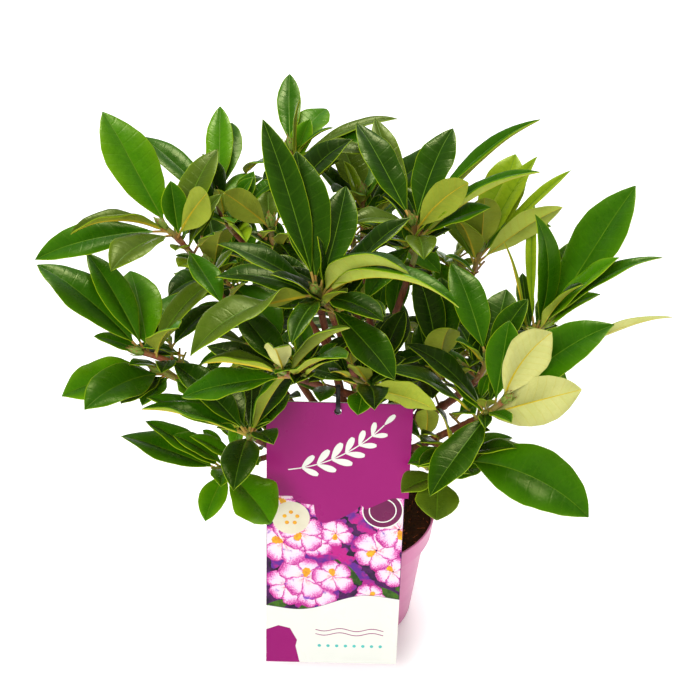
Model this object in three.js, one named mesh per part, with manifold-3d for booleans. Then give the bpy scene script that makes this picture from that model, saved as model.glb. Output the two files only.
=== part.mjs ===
// A young rhododendron in its nursery pot, with the printed label that hangs in front of it.
// Millimetres, +Z up. The origin is the centre of the pot's flat underside, and the front faces -Y.
import * as THREE from 'three';
import Module from 'manifold-3d';

const wasm = await Module();
wasm.setup();

// ---------------------------------------------------------------- driving sizes
const GAP = 0.3; // between neighbouring pieces

const POT = {
  height: 131,
  footRadius: 63.3,
  shoulderRadius: 76.7,
  bandHeight: 23,
  bandFootRadius: 82.5,
  rimRadius: 85,
  wall: 2,
  floor: 2.4,
  corner: 5,
  sides: 36,
};
const PEAT_TOP = 118; // the peat's surface, where the trunk's flat cut stands
const PEAT_DROP = 3; // how far the peat falls away towards the wall

const TRUNK = {
  foot: [2, 5, PEAT_TOP + GAP],
  past: [9, 4, 160],
  tip: [8, 0, 205],
  footRadius: 7.6,
  tipRadius: 6.2,
  flare: 4.2,
  flareHeight: 8,
  flareLobes: 3,
  sides: 12,
  steps: 9,
};

const LABEL = {
  width: 127.5,
  top: 173,
  bottom: -113.5,
  thickness: 0.8,
  lean: 9,
  roll: -1.6,
  centreX: -15.4,
  flapOverhang: 3.5,
  holeRadius: 3.5,
  holeBelowTop: 8.5,
};
const LOOP = { width: 4, thickness: 1.2, innerRadius: 5.4, belowTop: 2.4 };

const LIMB_SIDES = 5;
const LIMB_STEPS = 4;
const STEM_SIDES = 3;
const STEM_SWELL = 1; // a three-sided stem is drawn this much stouter, to hold the roots of its leaves
const STEM_TIP_RADIUS = 2;
const ROOT_BELOW_BUD = 2; // along the stem, of the uppermost leaf
const ROOT_SPACING = 2.3;
const ROOT_OUT = 1.1; // from the stem's middle line, so that a root is well inside the bark
const BUD = { length: 14, radius: 3.6, shares: [0.2, 0.55, 0.85], widths: [0.85, 1, 0.5] };

// A leaf's half width along its length, as shares of its greatest half width.
const LEAF_STATIONS = [0.13, 0.38, 0.64, 0.86];
const LEAF_WIDTHS = [0.08, 0.8, 1, 0.62];
const PETIOLE_HALF_WIDTH = 1.1;
const LEAF_THICKNESS = 1.8; // at the midrib; the blade thins to its edges
const GOLDEN_ANGLE = 137.5;

// How close a leaf's probe points may come to another mass, to its own neighbours and to a limb.
const PROBE_ROWS = 16;
const PROBE_COLUMNS = 3;
const LEAF_CLEARANCE = 5.5;
const OWN_CLEARANCE = 3;
const OWN_FREE_SHARE = 0.3; // the part near the bud, where leaves of one shoot crowd together
const LIMB_CLEARANCE = 2.2;
const SOLID_CLEARANCE = 2.5;
// Small turns and lifts, in degrees, that a leaf tries before it is left out.
const NUDGES = [
  [0, 0], [3, 0], [-3, 0], [0, 4], [0, -4], [6, 0], [-6, 0], [0, 8], [0, -8],
  [9, 6], [-9, 6], [9, -6], [-9, -6], [0, 14], [0, -14], [16, 0], [-16, 0],
];
// A filling leaf whose tip would pass this envelope of the crown is left out.
const CROWN = { centre: [5, 20, 345], reach: [218, 215, 175] };
// No filling leaf hangs in front of the label, nor in these open windows, which run right through the crown
// away from an eye that looks down on its front.
const EYE = [0, -998, 982];
const WINDOWS = [
  { centre: [130, 0, 399], radius: 20 }, { centre: [149, 0, 419], radius: 17 },
  { centre: [87, 0, 431], radius: 8 }, { centre: [51, 0, 533], radius: 11 },
  { centre: [2, 0, 512], radius: 9 }, { centre: [-5, 0, 450], radius: 8 },
  { centre: [-170, 0, 409], radius: 16 }, { centre: [-144, 0, 317], radius: 9 },
  { centre: [87, 0, 229], radius: 6 },
];

// Each shoot is one bough and the mass of leaves that it carries. The bough springs from a limb, a share
// of the way along it, bows past a point and ends at the foot of the mass; head is the terminal bud.
// leading: the large leaves that make the outline, each [heading, rise, reach, width, arch, roll, lower]:
// heading, rise and reach lead from the bud to the leaf's tip, the heading turning from +X towards +Y;
// arch is the curve from root to tip, roll the turn about the midrib, and lower sets the root further down.
// filling: how many more leaves the golden angle deals round the bud, the first at the heading `turn`.
const SHOOTS = [
  {
    name: 'left', from: 'trunk', at: 0.8, past: [-55, -30, 262], foot: [-140, -66, 342],
    head: [-177, -80, 370], radii: [5, 2.6], filling: 4, turn: 60, seed: 11,
    leading: [
      [152, 31, 118, 50, 15], [128, 34, 102, 34, 10], [102, 28, 93, 42, 15], [177, 23, 42, 22, 10],
      [35, 32, 88, 30, 60], [323, 48, 65, 34, 40],
    ],
  },
  {
    name: 'upper_left', from: 'left', at: 0.35, past: [-85, -25, 345], foot: [-131, -22, 424],
    head: [-157, -20, 457], radii: [3.6, 2.4], filling: 3, turn: 20, seed: 12,
    leading: [
      [131, 45, 115, 50, 15, 0, 4], [198, -5, 112, 36, 25, -25], [208, 12, 84, 30, 60],
      [245, 2, 82, 40, 35], [59, 29, 90, 32, 20], [317, 42, 82, 34, 30], [73, 62, 40, 24, 10],
      [301, -58, 38, 24, 20, 0, 30],
    ],
  },
  {
    name: 'left_low', from: 'left', at: 0.62, past: [-110, -50, 300], foot: [-138, -56, 318],
    head: [-166, -60, 336], radii: [3.2, 2.3], filling: 3, turn: 80, seed: 13,
    leading: [
      [203, 0, 88, 46, 30, -20], [234, 9, 91, 42, 40, -20], [227, 4, 46, 28, 30],
      [242, -27, 35, 28, 20], [343, -31, 41, 26, 20],
    ],
  },
  {
    name: 'lower_left', from: 'trunk', at: 0.5, past: [-85, -10, 215], foot: [-86, -92, 290],
    head: [-84, -130, 318], radii: [4.4, 2.5], filling: 3, turn: 40, seed: 14,
    leading: [
      [172, 14, 94, 40, 20], [141, 25, 95, 36, 20], [118, 17, 87, 34, 15], [92, 8, 81, 32, 10],
      [15, 44, 72, 40, 20], [264, 5, 76, 34, 40],
    ],
  },
  {
    name: 'lower_left_under', from: 'lower_left', at: 0.5, past: [-85, -50, 232], foot: [-98, -72, 240],
    head: [-114, -95, 254], radii: [3, 2.3], filling: 3, turn: 70, seed: 15,
    leading: [
      [168, 16, 95, 42, 15], [326, -34, 65, 54, 30], [159, 27, 81, 30, 15], [254, -34, 48, 28, 30],
    ],
  },
  {
    name: 'front', from: 'trunk', at: 0.97, past: [18, -48, 300], foot: [-14, -82, 404],
    head: [-27, -110, 449], radii: [4.6, 2.6], filling: 3, turn: 30, seed: 16,
    leading: [
      [119, 53, 144, 30, 20], [102, 53, 116, 42, 20], [73, 34, 98, 36, 15], [156, 16, 91, 30, 25],
      [213, -9, 117, 48, 55], [332, 26, 92, 50, 70], [335, 9, 124, 40, 75], [330, -7, 62, 32, 40],
      [255, -5, 68, 22, 40], [92, 67, 43, 16, 10],
    ],
  },
  {
    name: 'front_low', from: 'front', at: 0.47, past: [-45, -45, 318], foot: [-42, -118, 368],
    head: [-53, -150, 398], radii: [3.5, 2.4], filling: 2, turn: 60, seed: 17,
    leading: [
      [267, 64, 74, 28, 20], [188, 15, 64, 32, 25], [355, 42, 70, 38, 30], [121, 13, 76, 34, 15],
      [148, 0, 76, 30, 15], [321, 34, 78, 42, 25],
    ],
  },
  {
    name: 'front_centre', from: 'front', at: 0.34, past: [20, -30, 322], foot: [16, -74, 334],
    head: [10, -100, 347], radii: [3, 2.3], filling: 3, turn: 140, seed: 36,
    leading: [
      [263, -12, 30, 24, 30], [345, -8, 66, 32, 30, -80], [64, 17, 93, 36, 20], [165, 12, 66, 32, 25],
      [20, 22, 46, 28, 25],
    ],
  },
  {
    name: 'top', from: 'trunk', at: 0.9, past: [-30, 40, 330], foot: [-46, 52, 450],
    head: [-53, 60, 492], radii: [4.4, 2.5], filling: 5, turn: 100, seed: 18,
    leading: [
      [92, 26, 92, 23, 10], [63, 12, 71, 34, 20], [341, 36, 49, 14, 30], [344, 6, 70, 30, 50],
      [18, 9, 105, 18, 32], [136, -34, 76, 28, 50], [313, 78, 52, 14, 10, 40], [47, 45, 33, 24, 15],
      [213, -35, 36, 20, 50],
    ],
  },
  {
    name: 'back_upper_left', from: 'top', at: 0.4, past: [-70, 35, 380], foot: [-104, 38, 420],
    head: [-119, 40, 453], radii: [3.4, 2.4], filling: 4, turn: 110, seed: 19,
    leading: [
      [91, 30, 105, 27, 10], [76, 15, 100, 34, 15], [138, 18, 108, 33, 20], [54, 5, 66, 26, 60],
      [292, 3, 88, 28, 25, 0, 14], [124, 84, 43, 34, 15],
    ],
  },
  {
    name: 'inner_left', from: 'top', at: 0.55, past: [-50, 20, 380], foot: [-62, 6, 412],
    head: [-69, 0, 449], radii: [3, 2.3], filling: 3, turn: 20, seed: 20,
    leading: [[215, 45, 64, 28, 20], [95, 22, 40, 22, 15]],
  },
  {
    name: 'centre_right', from: 'trunk', at: 1, past: [22, 0, 290], foot: [55, -8, 415],
    head: [53, -20, 462], radii: [5.6, 2.6], filling: 2, turn: 100, seed: 21,
    leading: [
      [121, 33, 108, 34, 20], [108, 30, 113, 26, 15], [67, 33, 100, 36, 10], [18, 37, 137, 34, 18],
      [329, 45, 73, 32, 30], [351, 30, 117, 36, 30, -20, 8], [200, 10, 60, 30, 70],
      [277, -1, 58, 28, 45], [1, 22, 64, 30, 25],
    ],
  },
  {
    name: 'top_right_back', from: 'centre_right', at: 0.45, past: [15, 40, 350], foot: [12, 60, 405],
    head: [11, 70, 441], radii: [3.4, 2.4], filling: 6, turn: 10, seed: 22,
    leading: [
      [117, 41, 60, 34, 20], [82, 10, 72, 34, 25], [346, 45, 44, 30, 40], [234, 29, 50, 34, 40],
      [155, 57, 37, 18, 15],
    ],
  },
  {
    name: 'right', from: 'trunk', at: 0.84, past: [75, -18, 250], foot: [146, -10, 322],
    head: [176, -10, 353], radii: [5, 2.6], filling: 2, turn: 150, seed: 23,
    leading: [
      [35, 51, 147, 56, 15], [57, 40, 91, 44, 15], [355, 54, 94, 36, 20], [4, 31, 120, 26, 50],
      [311, 60, 69, 30, 25], [93, 37, 124, 12, 15, -60], [107, 26, 61, 18, 15],
      [128, 48, 84, 10, 15, 70], [9, 32, 56, 30, 30], [178, 82, 112, 26, 50, -60, -12],
    ],
  },
  {
    name: 'back_upper_right', from: 'right', at: 0.4, past: [92, 30, 300], foot: [110, 50, 352],
    head: [121, 60, 391], radii: [3.4, 2.4], filling: 2, turn: 130, seed: 24,
    leading: [
      [266, 80, 62, 38, 25], [62, 42, 101, 44, 20], [39, 46, 101, 28, 20], [23, 41, 111, 16, 20],
      [221, 59, 55, 36, 25], [344, 34, 92, 28, 20, -85],
    ],
  },
  {
    name: 'centre_right_low', from: 'right', at: 0.58, past: [100, -35, 290], foot: [112, -48, 318],
    head: [119, -60, 351], radii: [3.2, 2.3], filling: 3, turn: 150, seed: 25,
    leading: [[109, 32, 98, 36, 25], [71, 29, 72, 36, 15], [42, 32, 64, 28, 15], [201, 41, 40, 24, 30]],
  },
  {
    name: 'centre_low', from: 'right', at: 0.3, past: [66, -25, 265], foot: [74, -34, 298],
    head: [80, -40, 333], radii: [3.2, 2.3], filling: 3, turn: 120, seed: 26,
    leading: [[88, 35, 84, 38, 20], [284, 69, 53, 34, 25], [206, -2, 50, 34, 30]],
  },
  {
    name: 'right_front', from: 'trunk', at: 0.62, past: [70, -20, 225], foot: [110, -88, 306],
    head: [130, -110, 341], radii: [4.8, 2.6], filling: 2, turn: 80, seed: 27,
    leading: [
      [13, 36, 111, 48, 20, 20, 12], [349, 65, 81, 56, 30, -110], [329, 31, 85, 46, 15, -112, 34],
      [21, 19, 163, 18, 40, -70], [153, 19, 97, 30, 35, 0, 18], [178, 28, 105, 36, 30, 0, 32],
    ],
  },
  {
    name: 'right_low', from: 'right_front', at: 0.6, past: [82, -60, 255], foot: [86, -80, 262],
    head: [96, -110, 275], radii: [3, 2.3], filling: 2, turn: 40, seed: 28,
    leading: [[328, -3, 122, 58, 60, 35], [354, 17, 62, 34, 25], [178, -2, 46, 34, 30]],
  },
  {
    name: 'pot_side', from: 'right_front', at: 0.4, past: [66, -40, 222], foot: [74, -58, 226],
    head: [82, -80, 233], radii: [2.8, 2.2], filling: 1, turn: 20, seed: 29,
    leading: [[263, -25, 42, 42, 30], [205, -3, 40, 34, 30], [18, 4, 42, 30, 20]],
  },
  {
    name: 'back', from: 'trunk', at: 0.72, past: [10, 55, 260], foot: [5, 115, 340],
    head: [3, 144, 372], radii: [4.4, 2.5], filling: 13, turn: 90, seed: 30, leading: [],
  },
  {
    name: 'back_left', from: 'trunk', at: 0.66, past: [-40, 45, 240], foot: [-110, 90, 322],
    head: [-136, 108, 350], radii: [4.2, 2.5], filling: 13, turn: 140, seed: 31, leading: [],
  },
  {
    name: 'back_right', from: 'trunk', at: 0.58, past: [50, 50, 245], foot: [92, 118, 312],
    head: [109, 142, 342], radii: [4.2, 2.5], filling: 13, turn: 60, seed: 32, leading: [],
  },
  {
    name: 'back_low_left', from: 'back_left', at: 0.4, past: [-55, 70, 245], foot: [-74, 104, 258],
    head: [-92, 130, 280], radii: [3, 2.3], filling: 11, turn: 120, seed: 33, leading: [],
  },
  {
    name: 'back_low', from: 'back', at: 0.35, past: [14, 80, 240], foot: [15, 112, 250],
    head: [20, 144, 268], radii: [3, 2.3], filling: 11, turn: 100, seed: 34, leading: [],
  },
  {
    name: 'back_low_right', from: 'back_right', at: 0.4, past: [75, 64, 245], foot: [102, 72, 256],
    head: [128, 86, 276], radii: [3, 2.3], filling: 11, turn: 20, seed: 35, leading: [],
  },
];

const FILLING = {
  steepest: 46, flattest: -12, jitter: 9, shortest: 74, longest: 108, slimmest: 0.33, widest: 0.42,
};
const SIDE_TWIG = { shortest: 16, longest: 26, radius: 1.5, leaves: 2, leafShortest: 36, leafLongest: 58 };

// ---------------------------------------------------------------- materials
const plastic = new THREE.MeshStandardMaterial({ color: '#b5638a', roughness: 0.45, metalness: 0 });
const peat = new THREE.MeshStandardMaterial({ color: '#2e1a10', roughness: 0.95, metalness: 0 });
const bark = new THREE.MeshStandardMaterial({ color: '#7a4a30', roughness: 0.8, metalness: 0 });
const foliage = new THREE.MeshStandardMaterial({ color: '#3f7a1c', roughness: 0.4, metalness: 0 });
const printedCard = new THREE.MeshStandardMaterial({ color: '#f4f4f0', roughness: 0.35, metalness: 0 });
const purpleCard = new THREE.MeshStandardMaterial({ color: '#8f2a76', roughness: 0.35, metalness: 0 });
const strap = new THREE.MeshStandardMaterial({ color: '#26282a', roughness: 0.5, metalness: 0 });

const plant = new THREE.Group();

// ---------------------------------------------------------------- small helpers
const radians = THREE.MathUtils.degToRad;
const point = (xyz) => new THREE.Vector3(...xyz);

// The same seed always gives the same run of numbers between 0 and 1.
function seededRandom(seed) {
  let state = seed;
  return () => {
    state = (Math.imul(state, 1664525) + 1013904223) >>> 0;
    return state / 4294967296;
  };
}

const between = (random, low, high) => low + (high - low) * random();

// A closed solid through rows of points; a last row of a single point makes a pointed end.
function loft(rings) {
  const points = rings.flat();
  const count = rings[0].length;
  const faces = [];
  for (let i = 1; i + 1 < count; i += 1) faces.push([0, i + 1, i]);
  for (let r = 0; r + 1 < rings.length; r += 1) {
    const near = r * count;
    const far = near + count;
    for (let i = 0; i < count; i += 1) {
      const j = (i + 1) % count;
      if (rings[r + 1].length === 1) {
        faces.push([near + i, near + j, far]);
      } else {
        faces.push([near + i, near + j, far + j], [near + i, far + j, far + i]);
      }
    }
  }
  const last = (rings.length - 1) * count;
  if (rings.at(-1).length > 1) {
    for (let i = 1; i + 1 < count; i += 1) faces.push([last, last + i, last + i + 1]);
  }
  return solidFrom(points, faces);
}

// A manifold solid from points and faces, turned so that its faces look outwards.
function solidFrom(points, faces) {
  let volume = 0;
  for (const [a, b, c] of faces) {
    volume += points[a].dot(new THREE.Vector3().crossVectors(points[b], points[c]));
  }
  const triangles = volume < 0 ? faces.map(([a, b, c]) => [a, c, b]) : faces;
  return new wasm.Manifold(new wasm.Mesh({
    numProp: 3,
    vertProperties: new Float32Array(points.flatMap((p) => p.toArray())),
    triVerts: new Uint32Array(triangles.flat()),
  }));
}

// The largest body of a solid, with any sealed hollow filled and any loose scrap dropped.
function mainBody(solid) {
  return solid.decompose().reduce((best, body) => (body.volume() > best.volume() ? body : best));
}

// A named mesh of a solid whose points are measured from `place`, set down at that place.
function addSolid(name, solid, material, place) {
  const { vertProperties, triVerts, numProp } = solid.getMesh();
  const positions = new Float32Array((vertProperties.length / numProp) * 3);
  for (let i = 0; i < positions.length / 3; i += 1) {
    positions[3 * i] = vertProperties[i * numProp] - place.x;
    positions[3 * i + 1] = vertProperties[i * numProp + 1] - place.y;
    positions[3 * i + 2] = vertProperties[i * numProp + 2] - place.z;
  }
  const geometry = new THREE.BufferGeometry();
  geometry.setAttribute('position', new THREE.BufferAttribute(positions, 3));
  geometry.setIndex(new THREE.BufferAttribute(new Uint32Array(triVerts), 1));
  geometry.computeVertexNormals();
  const mesh = new THREE.Mesh(geometry, material);
  mesh.name = name;
  mesh.position.copy(place);
  plant.add(mesh);
}

function addMesh(parent, name, geometry, material) {
  const mesh = new THREE.Mesh(geometry, material);
  mesh.name = name;
  parent.add(mesh);
  return mesh;
}

// ---------------------------------------------------------------- pot and peat
// The body tapers to a rounded foot; under the rim a wider band steps out, and the lip is rounded.
const bandFoot = POT.height - POT.bandHeight;

function potGeometry() {
  const { height, footRadius, shoulderRadius, bandFootRadius, rimRadius, wall, floor, corner } = POT;
  const profile = [
    [0, 0],
    [footRadius - corner, 0],
    [footRadius - 0.3 * corner, 0.3 * corner],
    [footRadius, corner],
    [shoulderRadius, bandFoot],
    [bandFootRadius - 0.8, bandFoot],
    [bandFootRadius, bandFoot + 0.8],
    [rimRadius, height - 0.9],
    [rimRadius - 0.9, height],
    [rimRadius - wall + 0.3, height],
    [rimRadius - wall - 0.2, height - 0.9],
    [bandFootRadius - wall, bandFoot + wall],
    [shoulderRadius - wall, bandFoot - 1],
    [footRadius - wall, corner],
    [footRadius - corner, floor],
    [0, floor],
  ].map(([x, y]) => new THREE.Vector2(x, y));
  return new THREE.LatheGeometry(profile, POT.sides).rotateX(Math.PI / 2);
}

// The peat fills the pot to just below the rim and falls away a little towards the wall.
function peatGeometry() {
  const { footRadius, shoulderRadius, bandHeight, bandFootRadius, rimRadius, wall, floor, corner } = POT;
  const edge = PEAT_TOP - PEAT_DROP;
  const bandSlope = (rimRadius - bandFootRadius) / bandHeight;
  const clear = wall + 1.5 * GAP;
  const profile = [
    [0, floor + GAP],
    [footRadius - corner - 1, floor + GAP],
    [footRadius - clear, corner + 1],
    [shoulderRadius - clear, bandFoot - 1 + GAP],
    [bandFootRadius - clear - 0.4, bandFoot + wall + GAP],
    [bandFootRadius - clear + bandSlope * (edge - bandFoot - wall) - 0.4, edge],
    [46, PEAT_TOP - 1],
    [16, PEAT_TOP],
    [0, PEAT_TOP],
  ].map(([x, y]) => new THREE.Vector2(x, y));
  return new THREE.LatheGeometry(profile, POT.sides).rotateX(Math.PI / 2);
}

addMesh(plant, 'pot', potGeometry(), plastic);
addMesh(plant, 'peat', peatGeometry(), peat);

// ---------------------------------------------------------------- limbs
// A limb is a row of points with a radius at each; it is drawn as a tapering loft.
function limbAlong(from, past, to, startRadius, endRadius, steps = LIMB_STEPS) {
  const points = new THREE.QuadraticBezierCurve3(from, past, to).getPoints(steps);
  const radii = points.map((_, i) => startRadius + ((endRadius - startRadius) * i) / steps);
  return { points, radii };
}

function directionAt(points, i) {
  const before = points[Math.max(i - 1, 0)];
  const after = points[Math.min(i + 1, points.length - 1)];
  return after.clone().sub(before).normalize();
}

function limbRings({ points, radii }, sides, swell) {
  const chord = points.at(-1).clone().sub(points[0]).normalize();
  const reference = Math.abs(chord.z) > 0.9 ? new THREE.Vector3(1, 0, 0) : new THREE.Vector3(0, 0, 1);
  const sideways = new THREE.Vector3().crossVectors(chord, reference).normalize();
  return points.map((centre, i) => {
    const along = i === 0 || i === points.length - 1 ? endDirection(points, i) : directionAt(points, i);
    const across = sideways.clone().addScaledVector(along, -sideways.dot(along)).normalize();
    const up = new THREE.Vector3().crossVectors(along, across);
    return Array.from({ length: sides }, (_, k) => {
      const angle = (2 * Math.PI * k) / sides;
      return centre.clone()
        .addScaledVector(across, Math.cos(angle) * (radii[i] + swell))
        .addScaledVector(up, Math.sin(angle) * (radii[i] + swell));
    });
  });
}

const limbSolid = (limb, sides = LIMB_SIDES, swell = 0) => loft(limbRings(limb, sides, swell));

function endDirection(points, i) {
  const from = i === 0 ? points[0] : points[i - 1];
  const to = i === 0 ? points[1] : points[i];
  return to.clone().sub(from).normalize();
}

function pointAlong({ points, radii }, share) {
  const place = share * (points.length - 1);
  const i = Math.min(Math.floor(place), points.length - 2);
  const rest = place - i;
  return {
    centre: points[i].clone().lerp(points[i + 1], rest),
    radius: radii[i] + (radii[i + 1] - radii[i]) * rest,
  };
}

// The trunk leans a little, tapers, and flares into low root lobes above its flat cut at the peat.
function trunkSolid({ points, radii }) {
  const rings = points.map((centre, i) => {
    const height = centre.z - TRUNK.foot[2];
    const flare = TRUNK.flare * Math.exp(-height / TRUNK.flareHeight);
    return Array.from({ length: TRUNK.sides }, (_, k) => {
      const angle = (2 * Math.PI * k) / TRUNK.sides;
      const reach = radii[i] + flare * (1 + 0.5 * Math.cos(TRUNK.flareLobes * angle));
      return centre.clone().add(point([reach * Math.cos(angle), reach * Math.sin(angle), 0]));
    });
  });
  return loft(rings);
}

const limbs = new Map(); // the middle line and radii of the trunk and every bough, by name
const rooms = []; // the room that each takes, with the gap that its neighbours keep from it

function roomAround({ points, radii }, sides, gap) {
  const beyond = points.at(-1).clone().addScaledVector(endDirection(points, points.length - 1), gap);
  return limbSolid({ points: [...points.slice(0, -1), beyond], radii }, sides, gap);
}

const trunk = limbAlong(
  point(TRUNK.foot), point(TRUNK.past), point(TRUNK.tip), TRUNK.footRadius, TRUNK.tipRadius, TRUNK.steps,
);
limbs.set('trunk', trunk);
rooms.push(roomAround(trunk, TRUNK.sides, 3 * GAP));
addSolid('trunk', trunkSolid(trunk), bark, point(TRUNK.foot));

// A bough is cut back to a small gap wherever it would meet the limb it springs from or an earlier one.
function boughSolid(limb) {
  let solid = limbSolid(limb);
  for (const room of rooms) solid = solid.subtract(room);
  return mainBody(solid);
}

for (const shoot of SHOOTS) {
  const parent = limbs.get(shoot.from);
  const start = pointAlong(parent, shoot.at).centre;
  const bough = limbAlong(start, point(shoot.past), point(shoot.foot), ...shoot.radii);
  limbs.set(shoot.name, bough);
  addSolid(`bough_${shoot.name}`, boughSolid(bough), bark, point(shoot.foot));
  rooms.push(roomAround(bough, LIMB_SIDES, GAP));
}

// ---------------------------------------------------------------- label and its loop
// The label leans on the pot's rim and hangs by a dark strap from the bough of the low front shoot.
const label = new THREE.Group();
label.position.set(LABEL.centreX, -POT.rimRadius - GAP - 0.1, POT.height);
label.rotation.set(radians(90 - LABEL.lean), 0, radians(LABEL.roll));
plant.add(label);
label.updateMatrixWorld(true);
const labelFront = 2 * LABEL.thickness + GAP;
const holeHeight = LABEL.top - LABEL.holeBelowTop;

function withHole(shape) {
  const hole = new THREE.Path();
  hole.absarc(0, holeHeight, LABEL.holeRadius, 0, 2 * Math.PI, true);
  shape.holes.push(hole);
  return shape;
}

function labelCardGeometry() {
  const half = LABEL.width / 2;
  const shape = new THREE.Shape();
  shape.moveTo(-half, LABEL.bottom);
  shape.lineTo(half, LABEL.bottom);
  shape.lineTo(half, LABEL.top);
  shape.lineTo(-half, LABEL.top);
  return new THREE.ExtrudeGeometry(withHole(shape), {
    depth: LABEL.thickness, bevelEnabled: false, curveSegments: 5,
  });
}

// The flap covers the upper half; its lower edge is cut in a step, a round tongue and a slant.
function labelFlapGeometry() {
  const left = -LABEL.width / 2;
  const right = LABEL.width / 2 + LABEL.flapOverhang;
  const edge = 76;
  const shape = new THREE.Shape();
  shape.moveTo(left, LABEL.top);
  shape.lineTo(left, edge);
  shape.lineTo(-40, edge);
  shape.bezierCurveTo(-38, edge - 8, -28, edge - 8, -20, edge - 9);
  shape.bezierCurveTo(-19, edge - 24, -14, edge - 29, -8, edge - 28);
  shape.bezierCurveTo(4, edge - 25, 16, edge - 17, 24, edge - 8);
  shape.lineTo(28, edge - 13);
  shape.lineTo(52, edge);
  shape.lineTo(right, edge);
  shape.lineTo(right, LABEL.top);
  return new THREE.ExtrudeGeometry(withHole(shape), {
    depth: LABEL.thickness, bevelEnabled: false, curveSegments: 5,
  });
}

addMesh(label, 'label_card', labelCardGeometry(), printedCard);
addMesh(label, 'label_flap', labelFlapGeometry(), purpleCard).position.z = LABEL.thickness + GAP;

// The strap is one closed band: through the hole, over the label's top edge and round the bough.
const loopNear = label.localToWorld(new THREE.Vector3(0, LABEL.top - LOOP.belowTop, labelFront / 2));
const carrier = limbs.get('front_low');

// The point of a limb's middle line at a given x.
function pointAtX({ points }, x) {
  const i = points.findIndex((p, k) => k > 0 && (p.x - x) * (points[k - 1].x - x) <= 0);
  const share = (x - points[i - 1].x) / (points[i].x - points[i - 1].x);
  return points[i - 1].clone().lerp(points[i], share);
}

function loopGeometry(length) {
  const band = (radius) => {
    const path = new THREE.Shape();
    path.absarc(0, 0, radius, Math.PI / 2, (3 * Math.PI) / 2, false);
    path.absarc(length, 0, radius, -Math.PI / 2, Math.PI / 2, false);
    path.closePath();
    return path;
  };
  const shape = band(LOOP.innerRadius + LOOP.thickness);
  shape.holes.push(band(LOOP.innerRadius));
  return new THREE.ExtrudeGeometry(shape, { depth: LOOP.width, bevelEnabled: false, curveSegments: 5 });
}

const held = pointAtX(carrier, loopNear.x);
const loopWay = new THREE.Vector3(0, held.y - loopNear.y, held.z - loopNear.z);
const loopLength = loopWay.length() - LOOP.innerRadius + 1.22 * carrier.radii[1] + 1.5 * GAP;
loopWay.normalize();
const loop = addMesh(plant, 'label_loop', loopGeometry(loopLength), strap);
loop.position.set(loopNear.x - LOOP.width / 2, loopNear.y, loopNear.z);
loop.quaternion.setFromRotationMatrix(new THREE.Matrix4().makeBasis(
  loopWay, new THREE.Vector3(0, -loopWay.z, loopWay.y), new THREE.Vector3(1, 0, 0),
));

// ---------------------------------------------------------------- leaves
// The middle line of a leaf is an arc in an upright plane; the blade folds up a little along it.
function leafFrame(leaf, share) {
  const bend = radians(leaf.arch);
  const length = (leaf.reach * bend) / 2 / Math.sin(bend / 2);
  const heading = radians(leaf.heading);
  const firstPitch = radians(leaf.rise) + bend / 2;
  const pitch = firstPitch - bend * share;
  const out = (length / bend) * (Math.sin(firstPitch) - Math.sin(pitch));
  const rise = (length / bend) * (Math.cos(pitch) - Math.cos(firstPitch));
  const centre = leaf.root.clone().add(point([out * Math.cos(heading), out * Math.sin(heading), rise]));
  const level = point([-Math.sin(heading), Math.cos(heading), 0]);
  const lean = -Math.sin(pitch);
  const upper = point([lean * Math.cos(heading), lean * Math.sin(heading), Math.cos(pitch)]);
  const roll = radians(leaf.roll);
  const side = level.clone().multiplyScalar(Math.cos(roll)).addScaledVector(upper, Math.sin(roll));
  const normal = upper.clone().multiplyScalar(Math.cos(roll)).addScaledVector(level, -Math.sin(roll));
  return { centre, side, normal };
}

// Half the blade's width at a share of its length, straight between the stations.
function halfWidth(leaf, share) {
  const stations = [...LEAF_STATIONS, 1];
  const widths = [...LEAF_WIDTHS, 0];
  if (share <= stations[0]) return PETIOLE_HALF_WIDTH;
  const i = stations.findIndex((station) => share <= station);
  const rest = (share - stations[i - 1]) / (stations[i] - stations[i - 1]);
  return Math.max((leaf.width / 2) * (widths[i - 1] + (widths[i] - widths[i - 1]) * rest), 0);
}

// Three-sided all along: the two edges of the blade and the raised midrib underneath.
function leafSolid(leaf) {
  const ring = (share) => {
    const { centre, side, normal } = leafFrame(leaf, share);
    const out = halfWidth(leaf, share);
    return [
      centre.clone().addScaledVector(side, -out).addScaledVector(normal, LEAF_THICKNESS / 2),
      centre.clone().addScaledVector(normal, -LEAF_THICKNESS / 2),
      centre.clone().addScaledVector(side, out).addScaledVector(normal, LEAF_THICKNESS / 2),
    ];
  };
  const blade = leaf.small ? [0, 1, 3] : [0, 1, 2, 3];
  return loft([ring(0), ...blade.map((i) => ring(LEAF_STATIONS[i])), [leafFrame(leaf, 1).centre]]);
}

// Points spread over the blade, by which a leaf feels for its neighbours.
function leafProbes(leaf) {
  const probes = [];
  for (let row = 0; row < PROBE_ROWS; row += 1) {
    const share = LEAF_STATIONS[0] + ((1 - LEAF_STATIONS[0]) * row) / (PROBE_ROWS - 1);
    const { centre, side, normal } = leafFrame(leaf, share);
    const half = halfWidth(leaf, share);
    for (let column = -PROBE_COLUMNS; column <= PROBE_COLUMNS; column += 1) {
      const out = (half * column) / PROBE_COLUMNS;
      const place = centre.clone().addScaledVector(side, out * Math.cos(leaf.fold))
        .addScaledVector(normal, Math.abs(out) * Math.sin(leaf.fold));
      probes.push({ place, share });
    }
  }
  return probes;
}

function distanceToLimb(place, { points, radii }) {
  let nearest = Infinity;
  for (let i = 0; i + 1 < points.length; i += 1) {
    const step = points[i + 1].clone().sub(points[i]);
    const share = THREE.MathUtils.clamp(place.clone().sub(points[i]).dot(step) / step.lengthSq(), 0, 1);
    const radius = radii[i] + (radii[i + 1] - radii[i]) * share;
    nearest = Math.min(nearest, points[i].clone().addScaledVector(step, share).distanceTo(place) - radius);
  }
  return nearest;
}

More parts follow.
